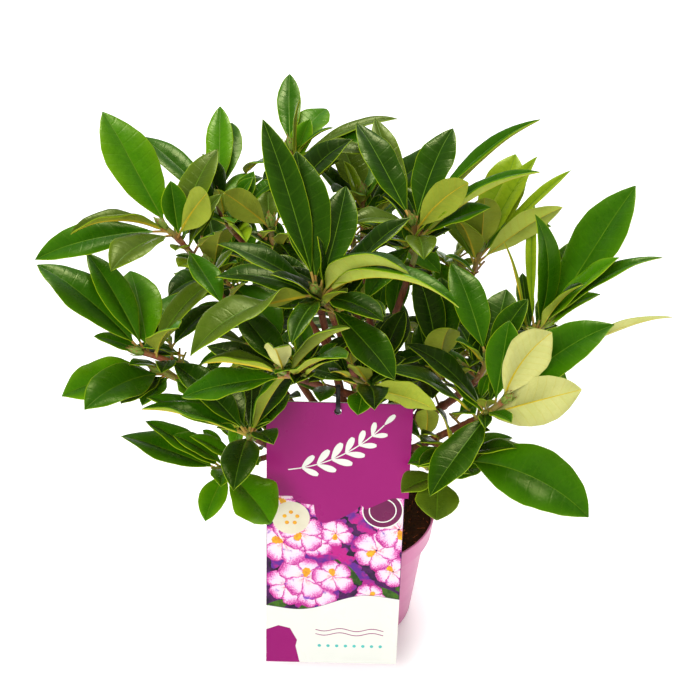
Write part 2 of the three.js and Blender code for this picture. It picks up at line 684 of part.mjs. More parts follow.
const intoLabel = label.matrixWorld.clone().invert();

// True where a point would touch the pot, the label or its loop.
function touchesPotOrLabel(place) {
  const inPot = Math.hypot(place.x, place.y) < POT.rimRadius + SOLID_CLEARANCE
    && place.z < POT.height + SOLID_CLEARANCE;
  const flat = place.clone().applyMatrix4(intoLabel);
  const onLabel = Math.abs(flat.x) < LABEL.width / 2 + 2 * SOLID_CLEARANCE
    && flat.y > LABEL.bottom && flat.y < LABEL.top + SOLID_CLEARANCE
    && flat.z > -SOLID_CLEARANCE && flat.z < labelFront + SOLID_CLEARANCE;
  const atLoop = place.distanceTo(loopNear) < loopLength + LOOP.innerRadius + SOLID_CLEARANCE
    && Math.abs(place.x - loopNear.x) < LOOP.width / 2 + SOLID_CLEARANCE;
  return inPot || onLabel || atLoop;
}

const stems = []; // every mass's stem and side twigs, with the mass they belong to
const leaves = []; // every leaf that has found its space

function isClear(mass, leaf) {
  const probes = leafProbes(leaf);
  const middle = leafFrame(leaf, 0.5).centre;
  for (const { place } of probes) {
    if (touchesPotOrLabel(place)) return false;
  }
  for (const limb of [...limbs.values(), ...stems.filter((stem) => stem.mass !== mass)]) {
    const far = limb.points.every((p) => p.distanceTo(middle) > leaf.reach + 60);
    if (!far && probes.some(({ place }) => distanceToLimb(place, limb) < LIMB_CLEARANCE)) return false;
  }
  for (const other of leaves) {
    if (other.middle.distanceTo(middle) > (other.reach + leaf.reach) / 2 + 20) continue;
    const own = other.mass === mass;
    const clearance = own ? OWN_CLEARANCE : LEAF_CLEARANCE;
    const free = own ? OWN_FREE_SHARE : 0;
    const touching = probes.some((probe) => probe.share >= free && other.probes.some(
      (theirs) => theirs.share >= free && theirs.place.distanceToSquared(probe.place) < clearance * clearance,
    ));
    if (touching) return false;
  }
  leaf.probes = probes;
  leaf.middle = middle;
  return true;
}

// How far out in the crown a point lies: 1 on the envelope.
function crownShare(place) {
  const from = place.clone().sub(point(CROWN.centre));
  return from.divide(point(CROWN.reach)).length();
}

function hangsInView(place) {
  const flat = place.clone().applyMatrix4(intoLabel);
  const beforeLabel = Math.abs(flat.x) < LABEL.width / 2 && flat.y < LABEL.top && flat.z > 0;
  return beforeLabel || WINDOWS.some(({ centre, radius }) => {
    const from = place.clone().sub(point(EYE));
    return from.cross(point(centre).sub(point(EYE)).normalize()).length() < radius;
  });
}

function keepsBounds(leaf) {
  const tip = leafFrame(leaf, 1).centre;
  return crownShare(tip) < 1 && !leafProbes(leaf).some(({ place }) => hangsInView(place));
}

// A leaf takes the first of its small nudges that is clear; with none clear it is left out.
function placeLeaf(mass, leaf) {
  for (const [turn, lift] of NUDGES) {
    const tried = { ...leaf, mass, heading: leaf.heading + turn, rise: leaf.rise + lift };
    const inside = !leaf.bounded || keepsBounds(tried);
    if (inside && isClear(mass, tried)) {
      leaves.push(tried);
      return;
    }
  }
}

// ---------------------------------------------------------------- masses of leaves
// Where a leaf of a heading springs from a stem, a length below its tip.
function rootOn(stem, below, heading) {
  const length = stem.points[0].distanceTo(stem.points.at(-1));
  const out = [ROOT_OUT * Math.cos(radians(heading)), ROOT_OUT * Math.sin(radians(heading)), 0];
  return pointAlong(stem, Math.max(1 - below / length, 0.05)).centre.add(point(out));
}

// The stem goes on from the bough's tip to the terminal bud; a side twig leaves it by the seeded rule.
const masses = SHOOTS.map((shoot) => {
  const bough = limbs.get(shoot.name);
  const onward = endDirection(bough.points, bough.points.length - 1);
  const foot = point(shoot.foot).addScaledVector(onward, GAP);
  const head = point(shoot.head);
  const past = foot.clone().addScaledVector(onward, foot.distanceTo(head) / 2);
  const stem = limbAlong(foot, past, head, shoot.radii[1], STEM_TIP_RADIUS, 3);
  const random = seededRandom(shoot.seed);
  const springs = pointAlong(stem, between(random, 0.3, 0.6)).centre;
  const heading = 360 * random();
  const length = between(random, SIDE_TWIG.shortest, SIDE_TWIG.longest);
  const turned = radians(heading);
  const tip = springs.clone().add(point([Math.cos(turned) * 0.8, Math.sin(turned) * 0.8, 0.6])
    .multiplyScalar(length));
  const twig = limbAlong(springs, springs.clone().lerp(tip, 0.5), tip, SIDE_TWIG.radius, 1.2, 1);
  return { ...shoot, stem, twig, random, twigHeading: heading };
});

for (const mass of masses) stems.push({ ...mass.stem, mass: mass.name }, { ...mass.twig, mass: mass.name });

// A step of a length along a heading and a rise, and the heading, rise and reach from one point to another.
function polar(heading, rise, reach) {
  const level = reach * Math.cos(radians(rise));
  return point([level * Math.cos(radians(heading)), level * Math.sin(radians(heading)),
    reach * Math.sin(radians(rise))]);
}

function aim(from, to) {
  const way = to.clone().sub(from);
  const reach = way.length();
  return {
    heading: (Math.atan2(way.y, way.x) * 180) / Math.PI,
    rise: (Math.asin(way.z / reach) * 180) / Math.PI,
    reach,
  };
}

// The leading leaves of every mass take their space first.
for (const mass of masses) {
  mass.leading.forEach(([heading, rise, reach, width, arch, roll = 0, lower = 0], i) => {
    const root = rootOn(mass.stem, ROOT_BELOW_BUD + ROOT_SPACING * i + lower, heading);
    const tip = point(mass.head).add(polar(heading, rise, reach));
    const fold = radians(between(mass.random, 6, 20));
    placeLeaf(mass.name, { root, ...aim(root, tip), width, arch, roll, fold });
  });
}

// Then the golden angle deals the rest, steep near the bud and drooping lower down the stem.
for (const mass of masses) {
  const { random } = mass;
  for (let k = 0; k < mass.filling; k += 1) {
    const share = mass.filling > 1 ? k / (mass.filling - 1) : 0.5;
    const heading = mass.turn + GOLDEN_ANGLE * k + between(random, -FILLING.jitter, FILLING.jitter);
    const below = ROOT_BELOW_BUD + ROOT_SPACING * (mass.leading.length + k);
    const reach = between(random, FILLING.shortest, FILLING.longest);
    placeLeaf(mass.name, {
      root: rootOn(mass.stem, below, heading),
      heading,
      rise: FILLING.steepest + (FILLING.flattest - FILLING.steepest) * share
        + between(random, -FILLING.jitter, FILLING.jitter),
      reach,
      width: reach * between(random, FILLING.slimmest, FILLING.widest),
      arch: between(random, 12, 45),
      roll: between(random, -12, 12),
      fold: radians(between(random, 6, 20)),
      small: reach < 95,
      bounded: true,
    });
  }
}

// Last come the small leaves of the side twigs.
for (const mass of masses) {
  const { random } = mass;
  for (let k = 0; k < SIDE_TWIG.leaves; k += 1) {
    const reach = between(random, SIDE_TWIG.leafShortest, SIDE_TWIG.leafLongest);
    const heading = mass.twigHeading + (k === 0 ? 45 : -60) + between(random, -15, 15);
    placeLeaf(mass.name, {
      root: mass.twig.points.at(-1).clone().lerp(mass.twig.points[0], 0.12 + 0.2 * k),
      heading,
      rise: between(random, 15, 55),
      reach,
      width: reach * between(random, 0.42, 0.5),
      arch: between(random, 12, 40),
      roll: 0,
      fold: radians(between(random, 6, 20)),
      small: true,
      bounded: true,
    });
  }
}

// The stem and, as its last rings, the terminal bud: a small spindle that ends in a point.
function stemSolid({ points, radii }) {
  const onward = endDirection(points, points.length - 1);
  const bud = BUD.shares.map((share) => points.at(-1).clone().addScaledVector(onward, share * BUD.length));
  const rings = limbRings({
    points: [...points, ...bud],
    radii: [...radii, ...BUD.widths.map((width) => width * BUD.radius)],
  }, STEM_SIDES, STEM_SWELL);
  return loft([...rings, [points.at(-1).clone().addScaledVector(onward, BUD.length)]]);
}

for (const mass of masses) {
  const own = leaves.filter((leaf) => leaf.mass === mass.name).map(leafSolid);
  const solid = wasm.Manifold.union([stemSolid(mass.stem), limbSolid(mass.twig, 3), ...own]);
  addSolid(`leaves_${mass.name}`, mainBody(solid), foliage, point(mass.foot));
}

export default plant;
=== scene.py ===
import math

import bpy
import numpy as np
from mathutils import Matrix, Vector, noise


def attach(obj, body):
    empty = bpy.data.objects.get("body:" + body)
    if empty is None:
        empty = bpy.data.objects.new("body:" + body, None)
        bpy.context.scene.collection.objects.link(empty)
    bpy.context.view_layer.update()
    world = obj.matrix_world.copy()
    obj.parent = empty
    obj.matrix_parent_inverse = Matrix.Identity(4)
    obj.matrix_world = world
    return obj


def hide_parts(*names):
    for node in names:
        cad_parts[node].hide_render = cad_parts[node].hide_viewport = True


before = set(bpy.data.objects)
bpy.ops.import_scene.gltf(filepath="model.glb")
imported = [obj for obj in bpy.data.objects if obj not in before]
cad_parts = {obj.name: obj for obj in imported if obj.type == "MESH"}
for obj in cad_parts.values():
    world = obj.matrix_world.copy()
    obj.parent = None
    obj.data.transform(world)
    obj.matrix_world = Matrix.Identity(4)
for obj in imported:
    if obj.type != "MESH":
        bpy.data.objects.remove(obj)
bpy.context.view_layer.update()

# A young rhododendron in its nursery pot, with the printed label that hangs in front of it.
# Sizes and places are in millimetres, as in the part's source; MM makes them metres in a mesh.
MM = 0.001


# ---------------------------------------------------------------- floor, light and camera
# A plain pale light table in soft studio light. The camera stands in front, a little above the crown,
# and looks down on the plant.
FLOOR_HALF_SIDE = 6000
FLOOR_COLOUR = (0.93, 0.93, 0.92)
FLOOR_SHADE = 0.985  # of its colour, in the faint second tone
FLOOR_GLOW = 0.28  # of the light table
CAMERA_PLACE = (0, -998, 982)
CAMERA_PITCH = 33.6  # degrees below level
CAMERA_LENS = 66.857
SKY_STRENGTH = 0.33
SOFT_LIGHTS = (
    dict(name="front_light", comes_from=(-0.38, -0.8, 0.62), strength=2.9, spread=40, glints=False),
    dict(name="top_light", comes_from=(0.1, 0.45, 1.0), strength=2.7, spread=26, glints=True),
)


class Nodes:
    """Adds nodes to a tree; each input is given a plain value or another node's socket."""

    def __init__(self, tree):
        self.tree = tree

    def add(self, kind, inputs=None, **settings):
        node = self.tree.nodes.new(kind)
        for name, value in settings.items():
            setattr(node, name, value)
        for key, value in (inputs or {}).items():
            if isinstance(value, bpy.types.NodeSocket):
                self.tree.links.new(value, node.inputs[key])
            else:
                node.inputs[key].default_value = value
        return node

    def math(self, operation, first, second=0.0):
        return self.add("ShaderNodeMath", {0: first, 1: second}, operation=operation).outputs[0]

    def mix(self, factor, first, second):
        mixed = self.add("ShaderNodeMix", {0: factor, 6: first, 7: second}, data_type="RGBA")
        return mixed.outputs[2]

    def spread(self, value, low, high, to_low=0.0, to_high=1.0):
        ranged = self.add("ShaderNodeMapRange", {0: value, 1: low, 2: high, 3: to_low, 4: to_high})
        return ranged.outputs[0]


def rgb(red, green, blue):
    """A colour as a shader takes it, from its everyday values of 0 to 255."""
    shares = [value / 255 for value in (red, green, blue)]
    linear = [s / 12.92 if s <= 0.04045 else ((s + 0.055) / 1.055) ** 2.4 for s in shares]
    return (*linear, 1.0)


def shader_group(name, inputs, outputs):
    """An empty node group with named sockets, each (kind, name) or (kind, name, starting value)."""
    tree = bpy.data.node_groups.new(name, "ShaderNodeTree")
    for way, sockets in (("INPUT", inputs), ("OUTPUT", outputs)):
        for kind, label, *start in sockets:
            socket = tree.interface.new_socket(name=label, in_out=way, socket_type="NodeSocket" + kind)
            if start:
                socket.default_value = start[0]
    group = Nodes(tree)
    return tree, group, group.add("NodeGroupInput").outputs, group.add("NodeGroupOutput").inputs


# Soft irregular patches of a second colour, as in mould-flowed plastic, peat, bark and leaf blades.
patches, made, given, wanted = shader_group(
    "soft_patches",
    [("Color", "Colour"), ("Color", "Second colour"), ("Float", "Scale", 40.0),
     ("Float", "Cover", 0.5), ("Float", "Softness", 0.2), ("Vector", "Stretch", (1, 1, 1))],
    [("Color", "Colour"), ("Float", "Height")],
)
place = made.add("ShaderNodeTexCoord").outputs["Object"]
stretched = made.add("ShaderNodeVectorMath", {0: place, 1: given["Stretch"]}, operation="MULTIPLY")
cloud = made.add("ShaderNodeTexNoise", {"Vector": stretched.outputs[0], "Scale": given["Scale"],
                                        "Detail": 4.0, "Roughness": 0.6}).outputs[0]
threshold = made.math("SUBTRACT", 1.0, given["Cover"])
low = made.math("SUBTRACT", threshold, given["Softness"])
high = made.math("ADD", threshold, given["Softness"])
share = made.spread(cloud, low, high)
made.tree.links.new(made.mix(share, given["Colour"], given["Second colour"]), wanted["Colour"])
made.tree.links.new(cloud, wanted["Height"])


def new_finish(name, roughness, specular=0.5):
    """A material with its Principled shader ready, and the helper that adds nodes to it."""
    material = bpy.data.materials.new(name)
    material.use_nodes = True
    shader = material.node_tree.nodes["Principled BSDF"]
    shader.inputs["Roughness"].default_value = roughness
    shader.inputs["Specular IOR Level"].default_value = specular
    return material, Nodes(material.node_tree), shader


def add_patches(nodes, colour, second, scale, cover=0.5, softness=0.2, stretch=(1, 1, 1)):
    """The soft patches over a colour or another node's colour; returns the group's outputs."""
    group = nodes.add("ShaderNodeGroup", node_tree=patches)
    for name, value in (("Colour", colour), ("Second colour", second), ("Scale", scale),
                        ("Cover", cover), ("Softness", softness), ("Stretch", stretch)):
        if isinstance(value, bpy.types.NodeSocket):
            nodes.tree.links.new(value, group.inputs[name])
        else:
            group.inputs[name].default_value = value
    return group.outputs


def add_bump(nodes, shader, height, distance, strength=1.0):
    """Relief, in metres of depth, from a height that varies over the surface."""
    bump = nodes.add("ShaderNodeBump", {"Height": height, "Distance": distance, "Strength": strength})
    nodes.tree.links.new(bump.outputs[0], shader.inputs["Normal"])


def patched_finish(name, colour, second, scale, roughness, *, cover=0.5, softness=0.2,
                   stretch=(1, 1, 1), relief=0.0, specular=0.5, gloss_spread=0.06):
    """A finish of one colour with soft patches of another, and relief and gloss that follow them."""
    material, nodes, shader = new_finish(name, roughness, specular)
    pattern = add_patches(nodes, colour, second, scale, cover, softness, stretch)
    nodes.tree.links.new(pattern["Colour"], shader.inputs["Base Color"])
    gloss = nodes.spread(pattern["Height"], 0.3, 0.7, roughness - gloss_spread, roughness + gloss_spread)
    nodes.tree.links.new(gloss, shader.inputs["Roughness"])
    if relief:
        add_bump(nodes, shader, pattern["Height"], relief)
    return material


class Heap:
    """Gathers bodies into one mesh: points in millimetres, and a finish number for each face."""

    def __init__(self):
        self.points = []
        self.faces = []
        self.finishes = []
        self.uvs = []
        self.count = 0

    def add(self, points, faces, finishes=0, uvs=None):
        points = np.asarray(points, float).reshape(-1, 3)
        self.points.append(points)
        self.faces.extend([[corner + self.count for corner in face] for face in faces])
        self.finishes.extend([finishes] * len(faces) if isinstance(finishes, int) else finishes)
        self.uvs.append(np.zeros((len(points), 2)) if uvs is None else np.asarray(uvs, float))
        self.count += len(points)

    def make(self, name, materials, smooth=True):
        mesh = bpy.data.meshes.new(name)
        mesh.from_pydata((np.concatenate(self.points) * MM).tolist(), [], self.faces)
        for material in materials:
            mesh.materials.append(material)
        mesh.polygons.foreach_set("material_index", self.finishes)
        mesh.polygons.foreach_set("use_smooth", [smooth] * len(self.faces))
        corners = np.empty(len(mesh.loops), np.int32)
        mesh.loops.foreach_get("vertex_index", corners)
        layer = mesh.uv_layers.new(name="blade")
        layer.data.foreach_set("uv", np.concatenate(self.uvs)[corners].ravel())
        mesh.update()
        piece = bpy.data.objects.new(name, mesh)
        bpy.context.scene.collection.objects.link(piece)
        return piece


def finish_piece(piece, slot, *nodes):
    """The piece rides on the plant's one body and stands for these CAD nodes; its slot is not used."""
    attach(piece, "root")
    if nodes:
        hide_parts(*nodes)


floor_heap = Heap()
side = FLOOR_HALF_SIDE
floor_heap.add([(-side, -side, 0), (side, -side, 0), (side, side, 0), (-side, side, 0)], [[0, 1, 2, 3]])
floor_finish = patched_finish(
    "studio_floor", (*FLOOR_COLOUR, 1), tuple(FLOOR_SHADE * c for c in FLOOR_COLOUR) + (1,), 2.0, 0.9,
    specular=0.2,
)
floor_shader = floor_finish.node_tree.nodes["Principled BSDF"]
floor_shader.inputs["Emission Color"].default_value = (1, 1, 1, 1)
floor_shader.inputs["Emission Strength"].default_value = FLOOR_GLOW
floor = floor_heap.make("studio_floor", [floor_finish])

scene = bpy.context.scene
world = bpy.data.worlds.new("studio")
world.use_nodes = True
world.node_tree.nodes["Background"].inputs["Color"].default_value = (1, 1, 1, 1)
world.node_tree.nodes["Background"].inputs["Strength"].default_value = SKY_STRENGTH
scene.world = world
scene.view_settings.view_transform = "Standard"

for light in SOFT_LIGHTS:
    lamp = bpy.data.lights.new(light["name"], "SUN")
    lamp.energy = light["strength"]
    lamp.angle = math.radians(light["spread"])
    holder = bpy.data.objects.new(light["name"], lamp)
    holder.rotation_euler = Vector(light["comes_from"]).to_track_quat("Z", "Y").to_euler()
    holder.visible_glossy = light["glints"]
    scene.collection.objects.link(holder)

camera = bpy.data.objects.new("camera", bpy.data.cameras.new("camera"))
camera.location = Vector(CAMERA_PLACE) * MM
camera.rotation_euler = (math.radians(90 - CAMERA_PITCH), 0, 0)
camera.data.lens = CAMERA_LENS
camera.data.sensor_width = 36
scene.collection.objects.link(camera)
scene.camera = camera


# ---------------------------------------------------------------- the nursery pot
# Thin injection-moulded polypropylene, tapered so that pots stack, with a wider band and a rolled
# lip at the top and a rounded foot. One shell, moulded in a mauve pink and slightly glossy.
POT = dict(
    height=131, foot_radius=63.3, shoulder_radius=76.7, band_height=23, band_foot_radius=82.5,
    rim_radius=85, wall=2, floor=2.4, corner=5,
)
POT_SIDES = 120
POT_PINK = rgb(212, 122, 168)
POT_PINK_SHADE = rgb(202, 110, 158)
BAND_FOOT = POT["height"] - POT["band_height"]


def loft(rings, first_cap=True, last_cap=True, close=True):
    """Faces through rings of equally many points that run anticlockwise about the way along them."""
    rows, count = len(rings), len(rings[0])
    across = count if close else count - 1
    faces = [
        [row * count + i, row * count + (i + 1) % count,
         (row + 1) * count + (i + 1) % count, (row + 1) * count + i]
        for row in range(rows - 1) for i in range(across)
    ]
    if first_cap:
        faces.append(list(range(count))[::-1])
    if last_cap:
        faces.append([(rows - 1) * count + i for i in range(count)])
    return faces


def turned(profile, sides):
    """Points and faces of a closed solid turned about the upright axis, its profile outside first."""
    rings = [
        [(radius * math.cos(2 * math.pi * k / sides), radius * math.sin(2 * math.pi * k / sides), height)
         for k in range(sides)]
        for radius, height in profile
    ]
    return np.array(rings).reshape(-1, 3), loft(rings)


def rounded(profile, corner_radius, steps=4):
    """A profile with each inner corner replaced by a short curve."""
    smooth = [profile[0]]
    for before, corner, after in zip(profile, profile[1:], profile[2:]):
        before, corner, after = (np.array(p, float) for p in (before, corner, after))
        reach_in = min(corner_radius, np.linalg.norm(before - corner) * 0.45)
        reach_out = min(corner_radius, np.linalg.norm(after - corner) * 0.45)
        start = corner + (before - corner) / np.linalg.norm(before - corner) * reach_in
        end = corner + (after - corner) / np.linalg.norm(after - corner) * reach_out
        for k in range(steps + 1):
            t = k / steps
            smooth.append((1 - t) ** 2 * start + 2 * t * (1 - t) * corner + t**2 * end)
    smooth.append(profile[-1])
    return smooth


wall, corner, height = POT["wall"], POT["corner"], POT["height"]
pot_outline = [
    (0.01, 1.2), (POT["foot_radius"] - 9, 1.2), (POT["foot_radius"] - 8, 0), (POT["foot_radius"] - corner, 0),
    (POT["foot_radius"] - 0.3 * corner, 0.3 * corner), (POT["foot_radius"], corner),
    (POT["shoulder_radius"], BAND_FOOT), (POT["band_foot_radius"] - 0.8, BAND_FOOT),
    (POT["band_foot_radius"], BAND_FOOT + 0.8), (POT["rim_radius"] - 0.5, height - 3.2),
    (POT["rim_radius"], height - 2.6), (POT["rim_radius"], height),
    (POT["rim_radius"] - wall + 0.3, height), (POT["rim_radius"] - wall - 0.2, height - 1.2),
    (POT["band_foot_radius"] - wall, BAND_FOOT + wall), (POT["shoulder_radius"] - wall, BAND_FOOT - 1),
    (POT["foot_radius"] - wall, corner), (POT["foot_radius"] - corner, POT["floor"]), (0.01, POT["floor"]),
]
pot_heap = Heap()
pot_heap.add(*turned(rounded(pot_outline, 1.1), POT_SIDES))
pot_finish = patched_finish(
    "moulded_mauve_plastic", POT_PINK, POT_PINK_SHADE, 9.0, 0.36, relief=0.00002, specular=0.3,
    stretch=(1, 1, 3), softness=0.3,
)
finish_piece(pot_heap.make("pot_shell", [pot_finish]), "pot_plastic", "pot")


# ---------------------------------------------------------------- peat
# A dark peat mix with composted bark fills the pot to just below the rim. It has sunk a little
# towards the wall, and loose crumbs, bark chips and fibres lie over it.
PEAT_TOP = 118
PEAT_DROP = 3
PEAT_CLEAR = 2.5  # from the pot's outside
PEAT_OVERLAP = 0.9  # so that the peat's top meets the inside of the wall
PEAT_INSET = 2.6  # of the buried peat from the pot's outside
PEAT_RINGS = 34
PEAT_SIDES = 120
PEAT_HEAP = 1.6  # how much the surface heaves
CRUMB = dict(size=1.7, to_square_metre=52000)
CHIP = dict(size=3.4, to_square_metre=15000)
FIBRE = dict(size=9.0, to_square_metre=6000)
STREWN_SIZES = (0.35, 1.0)  # shares of the size above
FULL_TURN = 6.28  # radians, for random turns and for waves

peat_edge = POT["band_foot_radius"] - PEAT_CLEAR + PEAT_OVERLAP


def peat_height(x, y):
    out = math.hypot(x, y) / peat_edge
    heave = noise.noise(Vector((x, y, 0)) * 0.055) + 0.5 * noise.noise(Vector((x, y, 9)) * 0.16)
    return PEAT_TOP - PEAT_DROP * out**2 + PEAT_HEAP * heave * (1 - 0.4 * out)


peat_angles = np.linspace(0, 2 * math.pi, PEAT_SIDES, endpoint=False)
peat_rings = [
    [(r * math.cos(a), r * math.sin(a), peat_height(r * math.cos(a), r * math.sin(a))) for a in peat_angles]
    for r in np.linspace(peat_edge, 0.3, PEAT_RINGS)
]
buried_profile = (
    (POT["foot_radius"] - corner - 1, POT["floor"] + 0.3), (POT["foot_radius"] - PEAT_INSET, corner + 1),
    (POT["shoulder_radius"] - PEAT_INSET, BAND_FOOT - 1),
    (POT["band_foot_radius"] - PEAT_INSET, BAND_FOOT + 2),
)
body_rings = [[(r * math.cos(a), r * math.sin(a), z) for a in peat_angles] for r, z in buried_profile]
peat_heap = Heap()
peat_heap.add(np.array(body_rings + peat_rings).reshape(-1, 3), loft(body_rings + peat_rings))
PEAT_BROWN = rgb(68, 38, 21)
PEAT_BLACK = rgb(26, 15, 9)
peat_finish = patched_finish(
    "damp_peat", PEAT_BLACK, PEAT_BROWN, 260.0, 0.92, relief=0.0012, specular=0.25, cover=0.55,
)
peat_piece = peat_heap.make("peat_fill", [peat_finish])
finish_piece(peat_piece, "peat", "peat")

crumb_finish = patched_finish("peat_crumbs", PEAT_BROWN, PEAT_BLACK, 500.0, 0.9, relief=0.0005, specular=0.25)
chip_finish = patched_finish(
    "bark_chips", rgb(176, 90, 46), rgb(112, 56, 28), 240.0, 0.8, relief=0.0005, specular=0.3,
    stretch=(1, 1, 0.3),
)


def scatter_tree(name, shape_node, shape_inputs, finish):
    """Geometry Nodes that strew one small shape, turned and sized at random, over a surface."""
    tree = bpy.data.node_groups.new(name, "GeometryNodeTree")
    sockets = {}
    for way, kind, label in (("INPUT", "Geometry", "Surface"), ("INPUT", "Float", "Density"),
                             ("INPUT", "Int", "Seed"), ("INPUT", "Float", "Size"),
                             ("OUTPUT", "Geometry", "Strewn")):
        sockets[label] = tree.interface.new_socket(
            name=label, in_out=way, socket_type="NodeSocket" + kind).identifier
    nodes = Nodes(tree)
    given = nodes.add("NodeGroupInput").outputs
    spots = nodes.add("GeometryNodeDistributePointsOnFaces", {
        "Mesh": given["Surface"], "Density": given["Density"], "Seed": given["Seed"]})
    shape = nodes.add(shape_node, shape_inputs)
    spin = nodes.add("FunctionNodeRandomValue", {0: (0, 0, 0), 1: (FULL_TURN,) * 3, 8: given["Seed"]},
                     data_type="FLOAT_VECTOR")
    size = nodes.add("FunctionNodeRandomValue",
                     {2: STREWN_SIZES[0], 3: STREWN_SIZES[1], 8: given["Seed"]}, data_type="FLOAT")
    scale = nodes.math("MULTIPLY", size.outputs[1], given["Size"])
    strewn = nodes.add("GeometryNodeInstanceOnPoints", {
        "Points": spots.outputs["Points"], "Instance": shape.outputs["Mesh"],
        "Rotation": spin.outputs[0], "Scale": scale})
    real = nodes.add("GeometryNodeRealizeInstances", {0: strewn.outputs[0]})
    dressed = nodes.add("GeometryNodeSetMaterial", {0: real.outputs[0], "Material": finish})
    ending = nodes.add("NodeGroupOutput")
    tree.links.new(dressed.outputs[0], ending.inputs["Strewn"])
    return tree, sockets


def baked(piece, name):
    """A plain mesh object of what a piece's modifiers make; the piece itself goes."""
    graph = bpy.context.evaluated_depsgraph_get()
    mesh = bpy.data.meshes.new_from_object(piece.evaluated_get(graph), depsgraph=graph)
    mesh.name = name
    bpy.data.objects.remove(piece)
    made_piece = bpy.data.objects.new(name, mesh)
    scene.collection.objects.link(made_piece)
    return made_piece


strewings = (
    ("peat_crumbs", "GeometryNodeMeshIcoSphere", {"Radius": 1.0, "Subdivisions": 1}, CRUMB, crumb_finish, 3),
    ("bark_chips", "GeometryNodeMeshCube", {"Size": (2.0, 1.1, 0.5)}, CHIP, chip_finish, 8),
    ("peat_fibres", "GeometryNodeMeshCube", {"Size": (2.0, 0.11, 0.11)}, FIBRE, chip_finish, 5),
)
for name, shape_node, shape_inputs, sizes, finish, seed in strewings:
    surface = Heap()
    surface.add(np.array(peat_rings[1:]).reshape(-1, 3), loft(peat_rings[1:], first_cap=False))
    holder = surface.make(name + "_surface", [finish])
    tree, sockets = scatter_tree(name, shape_node, shape_inputs, finish)
    strewer = holder.modifiers.new("strewn", "NODES")
    strewer.node_group = tree
    strewer[sockets["Density"]] = float(sizes["to_square_metre"])
    strewer[sockets["Seed"]] = seed
    strewer[sockets["Size"]] = sizes["size"] * MM / 2
    finish_piece(baked(holder, name), "peat", "peat")


# ---------------------------------------------------------------- trunk and boughs
# One short woody trunk and the boughs that fork from it, thin reddish-brown bark with old leaf
# scars. Each bough springs from a limb, a share of the way along it, bows past a point and ends at
# the foot of its mass of leaves; head is the terminal bud.
TRUNK = dict(
    foot=(2, 5, 118.3), past=(9, 4, 160), tip=(8, 0, 205), radii=(7.6, 6.2),
    flare=4.2, flare_height=8, flare_lobes=3, lobe_depth=0.5, steps=9, sunk=3,
)
LIMB_STEPS = 4  # straight steps of a limb in the rule by which leaves find their space
RELIEF_STEP = 2.2  # of the bark's rings along a limb
RELIEF_SIDES = 14
RIDGE = 0.32  # height of the bark's ridges
SCAR_SPACING = 11
SCAR_HEIGHT = 0.45
SCAR_HALF_LENGTH = 1.3
COLLAR = dict(swell=0.45, length=7)  # where a bough springs from its limb
GOLDEN_ANGLE = 137.5  # degrees from one leaf, leaf scar or bud scale to the next
